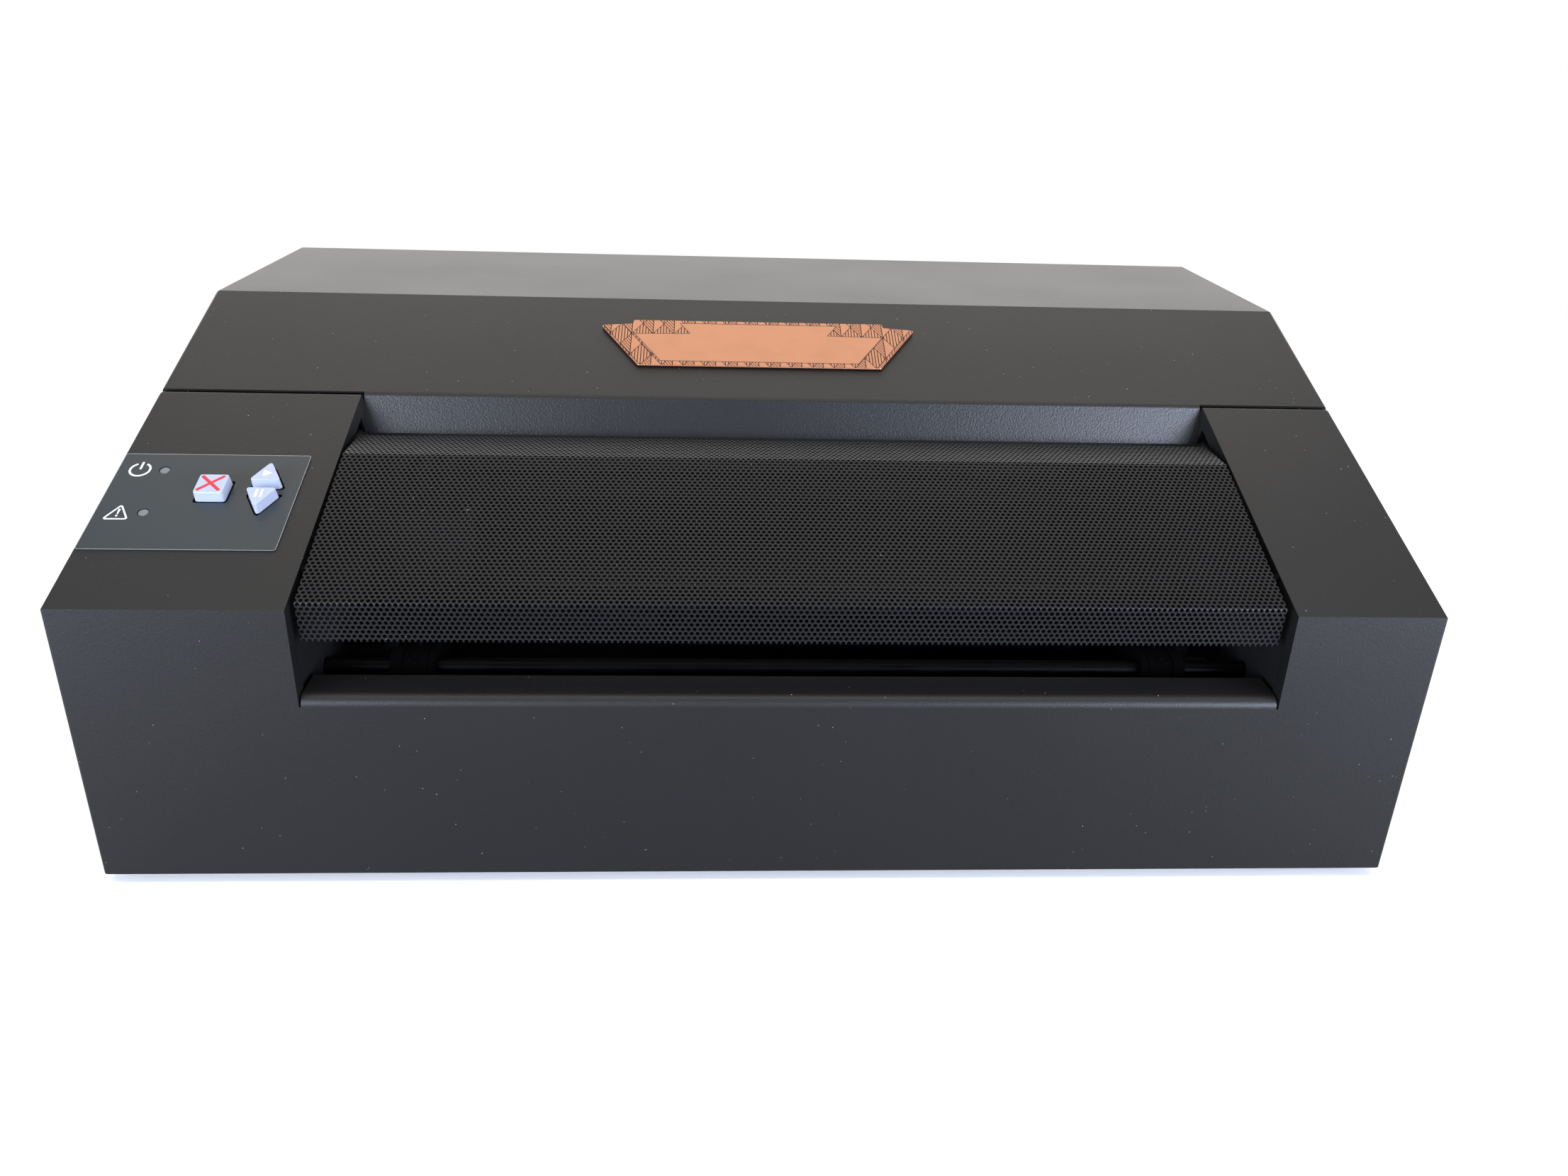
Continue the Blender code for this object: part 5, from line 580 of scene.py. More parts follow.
def flat_piece(name, loops, low, high, finish, body, slot, stands_for=()):
    """A thin flat piece from outlines with holes, between two heights over the slope."""
    curve = bpy.data.curves.new(name, "CURVE")
    curve.dimensions = "2D"
    curve.fill_mode = "BOTH"
    curve.extrude = (high - low) / 2
    for loop in loops:
        spline = curve.splines.new("POLY")
        spline.points.add(len(loop) - 1)
        for point, (a, b) in zip(spline.points, loop):
            point.co = (a, b, 0.0, 1.0)
        spline.use_cyclic_u = True
    drawn = put(name + "_drawn", curve)
    shape = bmesh.new()
    shape.from_mesh(settled(drawn))
    bpy.data.objects.remove(drawn)
    bmesh.ops.remove_doubles(shape, verts=shape.verts, dist=DOUBLES)
    bmesh.ops.recalc_face_normals(shape, faces=shape.faces)
    bmesh.ops.transform(shape, matrix=SLOPE_PLANE @ Matrix.Translation((0.0, 0.0, (low + high) / 2)),
                        verts=shape.verts)
    return place_piece(new_piece(name, shape, finish), body, stands_for)


def printed(name, loops, face, ink, body, slot):
    """A print or a cut line, a hair above the face that it is on."""
    flat_piece(name, loops, face - INK_SINK, face + INK_HEIGHT, ink, body, slot)


# The film's velvet face is satin: it gives a soft, greyish sheen, and its cut edge is pale.
paint("control_overlay", grained("slate_polyester_film", FILM_SLATE, grain=0.0006, strength=0.15, depth=0.00003,
                                 surface={"Roughness": 0.33, "IOR": 1.52}))
film_sides = (*FILM_CORNERS[0], *FILM_CORNERS[1])
printed("overlay_cut_edge", [rounded(box_corners(*film_sides), FILM_ROUND),
                             rounded(box_corners(*film_sides, FILM_LINE_WIDTH), FILM_ROUND - FILM_LINE_WIDTH)],
        FILM_TOP, printing_ink("film_cut_edge", FILM_LINE), "case", "panel_film")

# The two signs beside the lamps are printed in white: the usual broken ring for power, and
# a triangle with a stroke and a dot for a fault.
POWER_SIGN = (-0.3416, 0.1066)
POWER_RADIUS = 0.0053
POWER_GAP = 28.0
POWER_BAR = (0.05, 1.25)
SIGN_STROKE = 0.0011
STROKE_ROUND = 0.45
FAULT_SIGN = Vector((-0.3412, 0.0716))
FAULT_WIDTH = 0.0138
FAULT_HEIGHT = 0.0122
FAULT_INSIDE = 0.79
FAULT_ROUNDS = (0.0011, 0.0005, 0.00025)
MARK_STROKE = ((-0.00032, -0.0018), (0.00032, -0.0018), (0.0006, 0.0022), (-0.0006, 0.0022))
MARK_DOT = -0.0031
DOT_RADIUS = 0.00062
RING_STEPS = 40
DOT_STEPS = 19

white_ink = printing_ink("white_screen_ink", "e9ebec")
half = SIGN_STROKE / 2
ring = [arc_points(POWER_SIGN, POWER_RADIUS + half, 90 + POWER_GAP, 450 - POWER_GAP, RING_STEPS)
        + arc_points(POWER_SIGN, POWER_RADIUS - half, 450 - POWER_GAP, 90 + POWER_GAP, RING_STEPS)]
bar_low, bar_high = [POWER_SIGN[1] + POWER_RADIUS * share for share in POWER_BAR]
bar = rounded(box_corners(POWER_SIGN[0] - half, POWER_SIGN[0] + half, bar_low, bar_high),
              SIGN_STROKE * STROKE_ROUND)
triangle = [FAULT_SIGN + Vector((x * FAULT_WIDTH, y * FAULT_HEIGHT)) / 2 for x, y in ((-1, -1), (1, -1), (0, 1))]
middle = FAULT_SIGN - Vector((0.0, FAULT_HEIGHT / 6))
inside = [middle + (corner - middle) * FAULT_INSIDE for corner in triangle]
stroke = [FAULT_SIGN + Vector(corner) for corner in MARK_STROKE]
dot = arc_points(FAULT_SIGN + Vector((0.0, MARK_DOT)), DOT_RADIUS, 0, 360 - 360 / (DOT_STEPS + 1), DOT_STEPS)
for name, loops in (
        ("power_sign_ring", ring), ("power_sign_bar", [bar]),
        ("fault_sign_frame", [rounded(triangle, FAULT_ROUNDS[0]), rounded(inside, FAULT_ROUNDS[1])]),
        ("fault_sign_mark", [rounded(stroke, FAULT_ROUNDS[2]), dot])):
    printed(name, loops, FILM_TOP, white_ink, "case", "panel_film")

# The keys are moulded in a translucent blue-white resin: satin, with soft corners and a
# little light passing through their edges.
KEYS = ("cancel_key", "play_key", "pause_key")
KEY_RESIN = "a2abbd"
KEY_TOP = 0.0065
KEY_EDGE = 0.0006

key_resin = grained("blue_white_resin", KEY_RESIN, grain=0.0008, strength=0.12, depth=0.00003, surface={
    "Roughness": 0.38, "Subsurface Weight": 0.45, "Subsurface Scale": 0.0015,
    "Subsurface Radius": (0.8, 0.9, 1.0), "IOR": 1.49})
for key in KEYS:
    dressed(key, key_resin, edge=KEY_EDGE, steps=4)

# A near-black ring lies in the film's cut-outs, a millimetre wider than the keys: painted shade,
# so that dark shows round each key, as in a shaded gap.
SHADE_RING_INSIDE = 0.0006
SHADE_RING_OUTSIDE = 0.0014
SHADE_RING_HEIGHTS = (0.0002, 0.0004)


def matt_finish(name, colour):
    """Felt, foam and matt plastic, and near-black painted shade: hardly any shine, and a fine nap or grain."""
    return grained(name, colour, grain=0.0004, strength=0.6, depth=0.0002, detail=3.0,
                   surface={"Roughness": 0.95, "Specular IOR Level": 0.02})


def drawn_in(corners, inset):
    """A closed outline, counter-clockwise, moved inwards by inset."""
    count = len(corners)
    moved = []
    for i in range(count):
        before, here, after = (Vector(corners[k % count]) for k in (i - 1, i, i + 1))
        first = (here - before).normalized()
        second = (after - here).normalized()
        across = Vector((-first.y - second.y, first.x + second.x))
        moved.append(tuple(here + across * inset / (1 + first.dot(second))))
    return moved


def seen_outline(node, above):
    """A solid's convex outline over the slope, counter-clockwise, from its points above a height."""
    lay = SLOPE_PLANE.inverted()
    laid = [lay @ vertex.co for vertex in frame["nodes"][node].data.vertices]
    points = sorted({(round(p.x, 5), round(p.y, 5)) for p in laid if p.z > above})
    return [points[i] for i in convex_hull_2d(points)]


# Painted shade: a near-black matt ring round each key, where the gap lies in shade.
shade_ring_finish = matt_finish("black_gasket", "030303")
for key in KEYS:
    key_outline = seen_outline(key, KEY_TOP / 2)
    flat_piece(key + "_gasket", [drawn_in(key_outline, -SHADE_RING_OUTSIDE), drawn_in(key_outline, -SHADE_RING_INSIDE)],
               *SHADE_RING_HEIGHTS, shade_ring_finish, "case", "panel_film")

# The keys' signs are printed on their tops: a red cross to cancel, a white triangle to
# play and two white bars to pause.
CANCEL_RED = "c41f2c"
CANCEL_CENTRE = Vector((-0.2969, 0.0888))
CANCEL_ARM = 0.0084
CANCEL_STROKE = 0.0018
PLAY_SIGN = ((-0.2717, 0.1004), (-0.2713, 0.0952), (-0.2668, 0.0980))
PLAY_ROUND = 0.0003
PAUSE_BARS = ((-0.2716, -0.2704), (-0.2688, -0.2676))
PAUSE_SPAN = (0.0780, 0.0842)
PAUSE_ROUND = 0.0002

arm = CANCEL_ARM
half = CANCEL_STROKE / 2
cross = [(half, half), (half, arm), (-half, arm), (-half, half), (-arm, half), (-arm, -half), (-half, -half),
         (-half, -arm), (half, -arm), (half, -half), (arm, -half), (arm, half)]
turned = Matrix.Rotation(math.radians(45), 2)
printed("cancel_sign", [[CANCEL_CENTRE + turned @ Vector(corner) for corner in cross]], KEY_TOP,
        printing_ink("red_screen_ink", CANCEL_RED), "cancel_group", "key_plastic")
printed("play_sign", [rounded(PLAY_SIGN, PLAY_ROUND)], KEY_TOP, white_ink, "play_group", "key_plastic")
printed("pause_sign", [rounded(box_corners(*bar, *PAUSE_SPAN), PAUSE_ROUND) for bar in PAUSE_BARS], KEY_TOP,
        white_ink, "pause_group", "key_plastic")

# The lamps are light pipes of clear grey acrylic, polished and unlit, pressed in flush with
# the film: they show a small sharp highlight and some of the dark behind.
LAMP_GREY = "767a7a"
LAMP_EDGE = 0.0001

lamp_acrylic = end_finish(start_finish("grey_acrylic")[0], {
    "Base Color": tint(LAMP_GREY), "Roughness": 0.16, "IOR": 1.49, "Transmission Weight": 0.25})
for lamp_name in ("power_light", "alert_light"):
    dressed(lamp_name, lamp_acrylic, edge=LAMP_EDGE)

# The nameplate is cut from copper sheet and brushed, and a thin black layer, drawn in from its edge,
# lies under it and darkens that edge.  A fine engraved line frames its bare field, and the border
# round it is hatched in facets.
COPPER = "c48e70"
PATINA = "33201a"
PLATE_TOP = 0.0017
PLATE_MIDDLE = 0.001
PLATE_RIGHT = ((0.0763, 0.2134), (0.1019, 0.2572), (0.0812, 0.2597), (0.0812, 0.2639))
FRAME_RIGHT = ((0.0625, 0.2180), (0.0800, 0.2480), (0.0445, 0.2490), (0.0510, 0.2606))
PLATE_EDGE = 0.0002
PLATE_ROUND = 0.0014
PAD_HEIGHTS = (0.0001, 0.0007)
FACE_HEIGHT = 0.00012
LINE_HEIGHT = 0.00015
LINE_WIDTH = 0.0005
FACET_SIZE = 0.0135
FACET_LEAN = 0.58
FACET_SEAM = 0.04
HATCH_PITCH = 0.0019
HATCH_SHARE = 0.3
BRUSH_SCALE = (12.0, 900.0, 900.0)
STAIN_SIZE = 0.016


def mirrored(right):
    """A closed outline, counter-clockwise, from its right half."""
    return [(PLATE_MIDDLE + x, s) for x, s in right] + [(PLATE_MIDDLE - x, s) for x, s in reversed(right)]


def brushed_copper(name, colour, hatched=False):
    """Brushed copper: bright along the brushing, stained brown here and there, hatched on its border."""
    finish, tree, place = start_finish(name)
    drawn_out = add(tree, "ShaderNodeMapping", {"Vector": place, "Scale": BRUSH_SCALE})
    brush = add(tree, "ShaderNodeTexNoise", {"Vector": drawn_out, "Scale": 1.0, "Detail": 3.0})
    stain = add(tree, "ShaderNodeTexNoise", {"Vector": place, "Scale": 1 / STAIN_SIZE, "Detail": 3.0})
    depth = add(tree, "ShaderNodeMapRange", {"Value": stain, "From Min": 0.5, "From Max": 0.85, "To Max": 0.1})
    mixed = add(tree, "ShaderNodeMix", {"Factor": depth, "A": tint(colour), "B": tint(PATINA)},
                data_type="RGBA")
    if hatched:
        level = add(tree, "ShaderNodeMapping", {"Vector": place, "Rotation": (-SLOPE_ANGLE, 0.0, 0.0)})
        facet = 0.0
        cut = 0.0
        cells = []
        for lean in (0.0, FACET_LEAN, -FACET_LEAN):
            across = (1 / FACET_SIZE, lean / FACET_SIZE, 0.0)
            cell = add(tree, "ShaderNodeVectorMath", {0: level, 1: across}, operation="DOT_PRODUCT")
            cells.append(cell)
            whole = add(tree, "ShaderNodeMath", {0: cell}, operation="FLOOR")
            facet = add(tree, "ShaderNodeMath", {0: facet, 1: whole}, operation="ADD")
            part = add(tree, "ShaderNodeMath", {0: cell}, operation="FRACT")
            seam = add(tree, "ShaderNodeMath", {0: part, 1: FACET_SEAM}, operation="LESS_THAN")
            cut = add(tree, "ShaderNodeMath", {0: cut, 1: seam}, operation="MAXIMUM")
        kind = add(tree, "ShaderNodeMath", {0: facet, 1: 3.0}, operation="FLOORED_MODULO")
        lines = FACET_SIZE / HATCH_PITCH
        for which in (0, 1):
            rows = add(tree, "ShaderNodeMath", {0: cells[which], 1: lines}, operation="MULTIPLY")
            part = add(tree, "ShaderNodeMath", {0: rows}, operation="FRACT")
            line = add(tree, "ShaderNodeMath", {0: part, 1: HATCH_SHARE}, operation="LESS_THAN")
            here = add(tree, "ShaderNodeMath", {0: kind, 1: float(which), 2: 0.5}, operation="COMPARE")
            hatch = add(tree, "ShaderNodeMath", {0: line, 1: here}, operation="MULTIPLY")
            cut = add(tree, "ShaderNodeMath", {0: cut, 1: hatch}, operation="MAXIMUM")
        mixed = add(tree, "ShaderNodeMix", {"Factor": cut, "A": mixed, "B": tint(PATINA)}, data_type="RGBA")
    rough = add(tree, "ShaderNodeMapRange", {"Value": brush, "To Min": 0.32, "To Max": 0.52})
    skin = add(tree, "ShaderNodeBump", {"Height": brush, "Strength": 0.2, "Distance": 0.00004})
    return end_finish(finish, {"Base Color": mixed, "Metallic": 1.0, "Roughness": rough, "Normal": skin})


copper = brushed_copper("brushed_copper", COPPER)
plate_outline = mirrored(PLATE_RIGHT)
frame_outline = mirrored(FRAME_RIGHT)
plate_face = rounded(drawn_in(plate_outline, PLATE_EDGE), PLATE_ROUND)
flat_piece("nameplate_sheet", [rounded(plate_outline, PLATE_ROUND)], PAD_HEIGHTS[1], PLATE_TOP, copper,
           "lid_group", "copper_plate", ["nameplate"])
# A black layer under the plate darkens the line along its edge.
for name, loops, low, high, finish in (
        ("nameplate_pad", [plate_face], *PAD_HEIGHTS, matt_finish("black_under_plate", "0b0b0b")),
        ("nameplate_border", [plate_face, frame_outline], PLATE_TOP - INK_SINK, PLATE_TOP + FACE_HEIGHT,
         brushed_copper("hatched_copper", COPPER, hatched=True)),
        ("nameplate_field", [frame_outline], PLATE_TOP - INK_SINK, PLATE_TOP + FACE_HEIGHT, copper),
        ("nameplate_line", [drawn_in(frame_outline, -LINE_WIDTH / 2), drawn_in(frame_outline, LINE_WIDTH / 2)],
         PLATE_TOP - INK_SINK, PLATE_TOP + LINE_HEIGHT, printing_ink("engraved_line", PATINA))):
    flat_piece(name, loops, low, high, finish, "lid_group", "copper_plate")

# The rear panel, the pan and the mechanism's side plates are coated steel too, in the same
# black but flatter, since nobody looks at them.
CHASSIS_BLACK = "111112"
CHASSIS_EDGE = 0.0002

chassis_coat = powder_coat("chassis_powder_coat", CHASSIS_BLACK, roughness=0.52, peel_depth=0.00005)
dressed("rear_panel", case_coat)
for node in ("base_pan", "frame_plate_left", "frame_plate_right", "cover_bracket_left", "cover_bracket_right"):
    dressed(node, chassis_coat, edge=CHASSIS_EDGE)

# The hinges, the supply's shell, the sockets and the pinion are zinc-plated steel: dull
# silver, faintly blotched and a little blue.
FINE_EDGE = 0.00015
ZINC = "b9bcc0"


def plated_steel(name, colour, roughness, blotch):
    """Plated, oxidised or ground metal with a slight blotch in its gloss."""
    finish, tree, place = start_finish(name)
    cloud = add(tree, "ShaderNodeTexNoise", {"Vector": place, "Scale": 1 / blotch, "Detail": 5.0})
    rough = add(tree, "ShaderNodeMapRange", {"Value": cloud, "From Min": 0.3, "From Max": 0.7,
                                             "To Min": roughness - 0.08, "To Max": roughness + 0.08})
    return end_finish(finish, {"Base Color": tint(colour), "Metallic": 1.0, "Roughness": rough})


zinc = plated_steel("zinc_plated_steel", ZINC, roughness=0.38, blotch=0.006)
for node in ("lid_hinge_base_left", "lid_hinge_leaf_left", "lid_hinge_base_right", "lid_hinge_leaf_right",
             "power_supply", "usb_socket", "network_socket", "motor_pinion"):
    dressed(node, zinc, edge=FINE_EDGE)

# What shows through the cover is darkened as painted shade, so that the machine looks dark inside:
# the rails, the rod and the square shaft in black oxide made extra dark, the chute in the chassis' coat.
TURNED_ANGLE = math.radians(35.0)
OXIDE_SHADE_BLACK = "161617"

# Painted shade: this black oxide is darker than the real finish, for the dark inside.
blackened_and_shaded = plated_steel("black_oxide_shaded_steel", OXIDE_SHADE_BLACK, roughness=0.42, blotch=0.02)
for node in ("carriage_rail_front", "carriage_rail_rear", "tractor_guide_rod", "tractor_shaft",
             "carriage_motor_bracket", "idler_bracket"):
    dressed(node, blackened_and_shaded, edge=FINE_EDGE, smooth_below=TURNED_ANGLE)
# Painted shade: the chute gets the chassis' black so that it shows dark through the gap.
dressed("exit_chute", chassis_coat, edge=FINE_EDGE)

# The pins are ground bright and the die is hardened tool steel, smooth, and made darker than bare
# steel as painted shade, so that no bright line shows on it through the cover.  The belt's pulleys
# are machined from bare aluminium, and the carriage from black anodised aluminium.
PIN_BRIGHT = "c9cac8"
DIE_SHADE_DARK = "3b3c3e"
BARE_ALUMINIUM = "c6c8ca"
BLACK_ANODISED = "35363a"

dressed("embossing_pins", plated_steel("ground_steel", PIN_BRIGHT, roughness=0.2, blotch=0.02), edge=FINE_EDGE)
# Painted shade: the die's steel is darkened for the dark inside the machine.
dressed("die_bar", plated_steel("darkened_tool_steel", DIE_SHADE_DARK, roughness=0.32, blotch=0.01), edge=FINE_EDGE)
machined = plated_steel("machined_aluminium", BARE_ALUMINIUM, roughness=0.33, blotch=0.004)
for node in ("drive_pulley", "idler_pulley"):
    dressed(node, machined, edge=FINE_EDGE, smooth_below=TURNED_ANGLE)
anodised = plated_steel("black_anodised_aluminium", BLACK_ANODISED, roughness=0.4, blotch=0.004)
dressed("head_carriage", anodised, edge=FINE_EDGE)

# The head's housing, the inlet, the rocker and the fan are moulded in black ABS, with the
# fine spark-eroded grain of its tool, which breaks up their shine.
ABS_BLACK = "0c0c0d"
ABS_EDGE = 0.0002
GLOSS_CLOUD = 0.02


def moulded_plastic(name, colour, roughness, grain_size):
    """Moulded plastic with a fine grain from its tool."""
    finish, tree, place = start_finish(name)
    grain = add(tree, "ShaderNodeTexNoise", {"Vector": place, "Scale": 1 / grain_size, "Detail": 2.0})
    skin = add(tree, "ShaderNodeBump", {"Height": grain, "Strength": 0.3, "Distance": 0.00004})
    cloud = add(tree, "ShaderNodeTexNoise", {"Vector": place, "Scale": 1 / GLOSS_CLOUD, "Detail": 3.0})
    rough = add(tree, "ShaderNodeMapRange", {"Value": cloud, "To Min": roughness - 0.06,
                                             "To Max": roughness + 0.06})
    return end_finish(finish, {"Base Color": tint(colour), "Roughness": rough, "Normal": skin})


abs_black = moulded_plastic("black_abs", ABS_BLACK, roughness=0.5, grain_size=0.0007)
for node in ("embossing_head", "power_inlet", "power_rocker", "fan_frame", "fan_rotor"):
    dressed(node, abs_black, edge=ABS_EDGE)

# The tractors, their gates and pin belts are matt black acetal, made nearly black and without shine
# as painted shade, so that they sink into the dark behind the cover.  The gear and the sprockets
# that run inside them are natural acetal, waxy white.
ACETAL_EDGE = 0.0001
ACETAL_SHADE_BLACK = "050505"
ACETAL_NATURAL = "d9d6c9"

# Painted shade: this acetal is darker than the real plastic, for the dark behind the cover.
shaded_black_acetal = matt_finish("painted_shade_acetal", ACETAL_SHADE_BLACK)
for node in ("tractor_body_left", "tractor_body_right", "paper_gate_left", "paper_gate_right", "pin_belt_left",
             "pin_belt_right"):
    dressed(node, shaded_black_acetal, edge=ACETAL_EDGE)
acetal = moulded_plastic("natural_acetal", ACETAL_NATURAL, roughness=0.4, grain_size=0.0012)
for node in ("shaft_gear", "tractor_sprocket_left", "tractor_sprocket_right"):
    dressed(node, acetal, edge=ACETAL_EDGE)

# The motors' housings are pressed steel in a thin black coat.  The carriage's belt and the
# four feet are black rubber, dull and a little grey.
HOUSING_BLACK = "202124"
RUBBER_BLACK = "19191a"
BELT_EDGE = 0.0001
FOOT_EDGE = 0.0003

motor_coat = powder_coat("motor_housing_coat", HOUSING_BLACK, roughness=0.38, peel_depth=0.00003, dust=0.0)
for node in ("carriage_motor", "feed_motor"):
    dressed(node, motor_coat)
rubber = moulded_plastic("black_rubber", RUBBER_BLACK, roughness=0.78, grain_size=0.0009)
dressed("carriage_belt", rubber, edge=BELT_EDGE)
for node in ("foot_front_left", "foot_front_right", "foot_rear_left", "foot_rear_right"):
    dressed(node, rubber, edge=FOOT_EDGE)

# The two stops that the cover rests on are stubs of the case.  Their faces get a near-black felt
# finish without shine: painted shade, so that they sink into the dark gap round the cover.
STOP_DEPTH = -0.196
STOP_HEIGHT = 0.1732
STOP_REACH = 0.0045

# Painted shade: the stops' faces are made near-black so that they read as the gap's shade.
front_shell.data.materials.append(matt_finish("painted_shade_felt", "070707"))
for face in front_shell.data.polygons:
    if abs(face.center.y - STOP_DEPTH) < STOP_REACH and abs(face.center.z - STOP_HEIGHT) < STOP_REACH:
        face.material_index = 1

# Behind the fan lies its dust filter, a pad of black open foam held in the frame's corners.
# Its cells swallow the light, so the grille shows dark.
FILTER_CENTRE = (0.312, 0.1918, 0.0355)
FILTER_SIZE = (0.069, 0.0020, 0.069)
SOFT_EDGE = 0.0003


def small_box(wide, deep, high, bevel=0.0, seat=(0.0, 0.0, 0.0)):
    """A box that stands on its seat, its edges broken."""
    shape = bmesh.new()
    bmesh.ops.create_cube(shape, size=1.0, matrix=Matrix.Translation((0.0, 0.0, high / 2))
                          @ Matrix.Diagonal((wide, deep, high, 1.0)))
    if bevel:
        bmesh.ops.bevel(shape, geom=shape.edges[:], offset=bevel, segments=1, affect="EDGES")
    bmesh.ops.translate(shape, verts=shape.verts, vec=seat)
    return shape


place_piece(new_piece("fan_filter", small_box(*FILTER_SIZE, SOFT_EDGE, FILTER_CENTRE),
                      matt_finish("open_cell_foam", "0d0d0e")), "case")

# Just under the lid's lip hangs a thin strip in the black rubber finish: painted shade, which
# closes the view past the cover's rear edge so that the slot there shows dark.
SHADE_STRIP_SEAT = (0.0185, -0.0612, 0.1950)
SHADE_STRIP_SIZE = (0.5090, 0.0012, 0.0102)

# Painted shade: a dark strip set where the slot under the lip lies in shade.
place_piece(new_piece("lid_lip_seal", small_box(*SHADE_STRIP_SIZE, SOFT_EDGE, SHADE_STRIP_SEAT), rubber), "lid_group")

# The two circuit boards are glossy green with solder mask.  On the main board the chips are
# black epoxy, the heat sink is black anodised, and the tall capacitors are sleeved in dark
# blue with a bare aluminium top.
MASK_GREEN = "1d5b35"
EPOXY_BLACK = "1a1a1b"
SLEEVE_BLUE = "1c2233"
BOARD_EDGE = 0.0001
BOARD_FACE = 0.0291
CHIP_TOP = 0.0320
CAN_TOP = 0.0470
SINK_LEFT = 0.1115
SINK_REAR = 0.1665

solder_mask = moulded_plastic("green_solder_mask", MASK_GREEN, roughness=0.32, grain_size=0.003)
paint("keypad_board", solder_mask)
board = dressed("main_board", solder_mask, edge=BOARD_EDGE)
epoxy = moulded_plastic("moulded_epoxy", EPOXY_BLACK, roughness=0.55, grain_size=0.0005)
sleeve = moulded_plastic("capacitor_sleeve", SLEEVE_BLUE, roughness=0.35, grain_size=0.004)
for part_finish in (epoxy, anodised, machined, sleeve):
    board.data.materials.append(part_finish)
for face in board.data.polygons:
    x, y, z = face.center
    if z < BOARD_FACE + INK_HEIGHT:
        continue
    if x > SINK_LEFT and y < SINK_REAR:
        face.material_index = 2
    elif z < CHIP_TOP and face.normal.z > 0.5 or z < (BOARD_FACE + CHIP_TOP) / 2:
        face.material_index = 1
    else:
        face.material_index = 3 if z > CAN_TOP else 4

# The board's small parts: chip resistors and capacitors in dull brown ceramic, set by
# machine between the larger ones, and a row of white nylon headers along its front edge.
CERAMIC = "8d7a63"
NYLON = "dcdad0"
PASSIVE_SIZE = (0.0020, 0.0012, 0.0007)
PASSIVE_COUNT = 90
PASSIVE_SEED = 7
PASSIVE_EDGE = 0.0001
PASSIVE_MARGIN = 0.0035
BOARD_BOX = (-0.060, 0.074, 0.170, 0.198)
TALL_PARTS = ((-0.030, 0.104, -0.004, 0.130), (0.030, 0.124, 0.060, 0.136), (0.030, 0.146, 0.048, 0.156),
              (0.090, 0.126, 0.108, 0.136), (-0.040, 0.166, -0.026, 0.180), (0.112, 0.086, 0.162, 0.166),
              (-0.050, 0.130, -0.038, 0.156), (-0.006, 0.172, 0.022, 0.184), (-0.060, 0.074, 0.112, 0.086))
HEADER_SIZE = (0.0125, 0.0058, 0.0070)
HEADER_PLACES = (-0.040, -0.018, 0.004, 0.026, 0.052, 0.080)
HEADER_DEPTH = 0.0795
HEADER_EDGE = 0.0004
UP = (0.0, 0.0, 1.0)


def set_out_tree():
    """Geometry nodes that set one shape on every point of its places."""
    tree, given = start_tree("set_out", {"Shape": "Geometry", "Places": "Object", "Facing": "Vector",
                                         "Turn": "Float", "Seed": "Int", "Finish": "Material"})
    places = add(tree, "GeometryNodeObjectInfo", {"Object": given["Places"]})
    upright = add(tree, "FunctionNodeAlignRotationToVector", {"Vector": given["Facing"]}, axis="Z")
    chance = add(tree, "FunctionNodeRandomValue", {2: 0.0, 3: given["Turn"], "Seed": given["Seed"]},
                 data_type="FLOAT")
    spin = add(tree, "FunctionNodeAxisAngleToRotation", {"Axis": UP, "Angle": chance})
    turned = add(tree, "FunctionNodeRotateRotation", {"Rotation": upright, "Rotate By": spin},
                 rotation_space="LOCAL")
    copies = add(tree, "GeometryNodeInstanceOnPoints", {
        "Points": places.outputs["Geometry"], "Instance": given["Shape"], "Rotation": turned})
    real = add(tree, "GeometryNodeRealizeInstances", {0: copies})
    finished = add(tree, "GeometryNodeSetMaterial", {0: real, "Material": given["Finish"]})
    add(tree, "NodeGroupOutput", {0: finished})
    return tree


SET_OUT = set_out_tree()


def set_out(name, shape, places, facing, finish, body, turn=0.0, seed=1):
    """One piece made of a shape repeated on its places, facing one way."""
    marks = bpy.data.meshes.new(name + "_places")
    marks.from_pydata(places, [], [])
    spots = put(name + "_places", marks)
    piece = grown(new_piece(name, shape, finish, smooth_angle=30), SET_OUT, {
        "Places": spots, "Facing": facing, "Turn": turn, "Seed": seed, "Finish": finish})
    bpy.data.objects.remove(spots)
    return place_piece(piece, body)


chance = np.random.default_rng(PASSIVE_SEED)
passive_places = []
while len(passive_places) < PASSIVE_COUNT:
    x = chance.uniform(BOARD_BOX[0] + PASSIVE_MARGIN, BOARD_BOX[2] - PASSIVE_MARGIN)
    y = chance.uniform(BOARD_BOX[1] + PASSIVE_MARGIN, BOARD_BOX[3] - 2 * PASSIVE_MARGIN)
    free = all(not (low_x - PASSIVE_MARGIN < x < high_x + PASSIVE_MARGIN
                    and low_y - PASSIVE_MARGIN < y < high_y + PASSIVE_MARGIN)
               for low_x, low_y, high_x, high_y in TALL_PARTS)
    if free and all((x - a) ** 2 + (y - b) ** 2 > PASSIVE_MARGIN ** 2 for a, b, c in passive_places):
        passive_places.append((x, y, BOARD_FACE))
header_places = [(x, HEADER_DEPTH, BOARD_FACE) for x in HEADER_PLACES]
set_out("board_passives", small_box(*PASSIVE_SIZE, PASSIVE_EDGE), passive_places, UP,
        moulded_plastic("fired_ceramic", CERAMIC, roughness=0.5, grain_size=0.0004), "case")
set_out("board_headers", small_box(*HEADER_SIZE, HEADER_EDGE), header_places, UP,
        moulded_plastic("white_nylon", NYLON, roughness=0.45, grain_size=0.001), "case")

